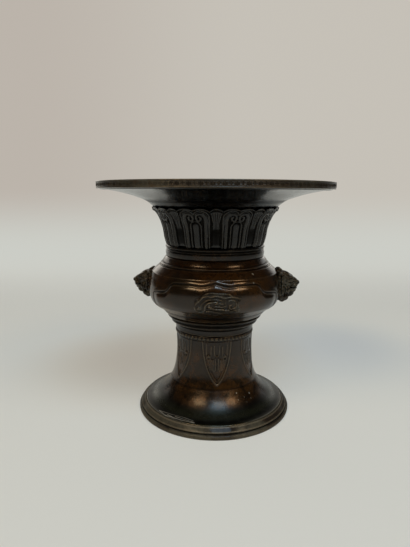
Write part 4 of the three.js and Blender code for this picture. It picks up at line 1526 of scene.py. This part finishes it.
# Shares of the even colour near the vase: in reflections and to the camera
PAPER_GLOW = 0.25
PAPER_SEEN = 0.42
# Grain of the paper, in repeats to the metre, its strength and how dark it is; tone of the even colour
PAPER_GRAIN, GRAIN_SHARE, GRAIN_TONE = 260, 0.12, 0.9
EVEN_TONE = 0.94


def floor_paper(finish):
    """Pale paper, lit and shaded around the vase, with painted warm and cool shadows beside it, painted
    black to reflections far to its sides, and shown in one even colour far behind it.
    """
    made = Finish(bpy.data.materials.new("floor_paper"))
    where = made.place()
    sideways, depth, height = (made.part(where, axis) for axis in "XYZ")
    seen, mirrored, through = (made.node("ShaderNodeLightPath", output=ray)
                               for ray in ("Is Camera Ray", "Is Glossy Ray", "Is Transmission Ray"))
    within = made.soft(made.math("ABSOLUTE", sideways), *PAPER_SIDES)
    grain = made.noise(where, PAPER_GRAIN, 3)
    tone = made.blend(grain * GRAIN_SHARE, finish.floor, tuple(v * GRAIN_TONE for v in finish.floor))
    # Painted shadows, seen by the camera only: warm on the vase's left and cool on its right
    for centre, shade in ((WARM_SHADOW_MIDDLE, finish.floor_painted_warm_shadow), (COOL_SHADOW_MIDDLE, finish.floor_painted_cool_shadow)):
        away = made.vector("DISTANCE", where, centre, 1)
        tone = made.blend(made.soft(away, PAINTED_SHADOW_RADIUS, 0) * seen, tone, shade)
    # Painted dark reflection: far to the sides of the vase, glossy rays see the paper painted black
    tone = made.blend((1 - within) * mirrored * 0.9, tone, finish.black)
    lit = made.node("ShaderNodeBsdfPrincipled", {"Base Color": tone, "Roughness": 0.75})
    # Painted shade on the backdrop: darker towards the left
    wall = made.blend(made.soft(sideways, *BACKDROP_SIDES), finish.backdrop, finish.backdrop_left)
    near = tuple(v * EVEN_TONE for v in finish.floor)
    flat = made.blend(made.soft(depth, *PAPER_TURNS), near, finish.floor_far)
    far = made.blend(made.soft(height, *PAPER_RISES), flat, wall)
    even = made.node("ShaderNodeEmission", {"Color": far})
    dim = made.soft(depth, *PAPER_TURNS, PAPER_GLOW, 1) * (mirrored + through) * within
    share = made.soft(depth, *PAPER_TURNS, PAPER_SEEN, 1) * seen + dim
    shader = made.node("ShaderNodeMixShader", {0: share, 1: lit, 2: even})
    made.node("ShaderNodeOutputMaterial", {"Surface": shader})
    return made.owner


# Camera of the photograph, in metres and degrees
CAMERA_DISTANCE = 0.459
CAMERA_SIDE = -3.5
CAMERA_HEIGHT = 0.2292
CAMERA_PITCH = 10.36
CAMERA_YAW = 1.28
CAMERA_ROLL = 0.3
FOCAL_PIXELS = 439.7
FRAME_PIXELS = 547
SENSOR = 36

# Side view of the floor and backdrop, in metres behind the vase and up, and their width
SWEEP = [(-3.0, 0), (-1.0, 0), (0.6, 0), (1.0, 0), (1.35, 0.06), (1.6, 0.3), (1.7, 0.7), (1.72, 2.6)]
SWEEP_WIDTH = 6


class VASE_OT_stage(Builder):
    """Pale floor and backdrop, soft lamps and the camera"""

    bl_idname = "vase.stage"
    bl_label = "Stage"

    def build(self, shape):
        sweep = bmesh.new()
        corners = [sweep.verts.new((0, y, z)) for y, z in spaced(smooth(SWEEP), 0.08)]
        for pair in zip(corners, corners[1:]):
            sweep.edges.new(pair)
        swept = bmesh.ops.extrude_edge_only(sweep, edges=sweep.edges[:])
        bmesh.ops.translate(sweep, vec=(SWEEP_WIDTH, 0, 0), verts=verts_of(swept))
        bmesh.ops.translate(sweep, vec=(-SWEEP_WIDTH / 2, 0, 0), verts=sweep.verts)
        floor = object_from(sweep, "floor")
        scene = bpy.context.scene
        floor.data.materials.append(floor_paper(scene.vase_finish))

        scene.world = bpy.data.worlds.new("studio")
        light_room(scene.world)
        for name, azimuth, elevation, width, height, power, tint in LAMPS:
            turn, rise = math.radians(azimuth), math.radians(elevation)
            out = math.cos(rise)
            place = Vector((math.sin(turn) * out, -math.cos(turn) * out, math.sin(rise)))
            area_light(name, place * LAMP_DISTANCE, LAMP_AIM, width, height, power, tint)

        camera = bpy.data.cameras.new("camera")
        camera.sensor_width = SENSOR
        camera.lens = FOCAL_PIXELS / FRAME_PIXELS * SENSOR
        holder = placed("camera", camera)
        side = math.radians(CAMERA_SIDE)
        across, back = CAMERA_DISTANCE * math.sin(side), CAMERA_DISTANCE * math.cos(side)
        holder.location = (across, -back, CAMERA_HEIGHT)
        turn = math.radians(CAMERA_SIDE + CAMERA_YAW)
        aim = Matrix.Rotation(turn, 3, "Z") @ Matrix.Rotation(math.radians(90 - CAMERA_PITCH), 3, "X")
        holder.rotation_euler = (aim @ Matrix.Rotation(math.radians(CAMERA_ROLL), 3, "Z")).to_euler()
        scene.camera = holder
        scene.view_settings.view_transform = "Standard"


OPERATORS = (
    VASE_OT_stage, VASE_OT_dish, VASE_OT_collar, VASE_OT_neck_ring, VASE_OT_belly, VASE_OT_lower_ring,
    VASE_OT_stem_band, VASE_OT_stem, VASE_OT_foot_ring, VASE_OT_masks, VASE_OT_medallions,
    VASE_OT_fastenings,
)


class VASE_PT_panel(bpy.types.Panel):
    """Lists the vase's pieces"""

    bl_label = "Bronze Flower Vase"
    bl_idname = "VASE_PT_panel"
    bl_space_type = "VIEW_3D"
    bl_region_type = "UI"
    bl_category = "Vase"

    def draw(self, context):
        for operator in OPERATORS:
            self.layout.operator(operator.bl_idname)


CLASSES = (VaseShape, VaseFinish, *OPERATORS, VASE_PT_panel)


def register():
    """Adds the add-on's classes and settings."""
    for kind in CLASSES:
        bpy.utils.register_class(kind)
    bpy.types.Scene.vase_shape = PointerProperty(type=VaseShape)
    bpy.types.Scene.vase_finish = PointerProperty(type=VaseFinish)


def unregister():
    """Takes the add-on's settings and classes away."""
    del bpy.types.Scene.vase_finish
    del bpy.types.Scene.vase_shape
    for kind in reversed(CLASSES):
        bpy.utils.unregister_class(kind)


def main():
    """Builds the scene, one operator after the other."""
    register()
    for operator in OPERATORS:
        group, name = operator.bl_idname.split(".")
        getattr(getattr(bpy.ops, group), name)()
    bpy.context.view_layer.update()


if __name__ == "__main__":
    main()
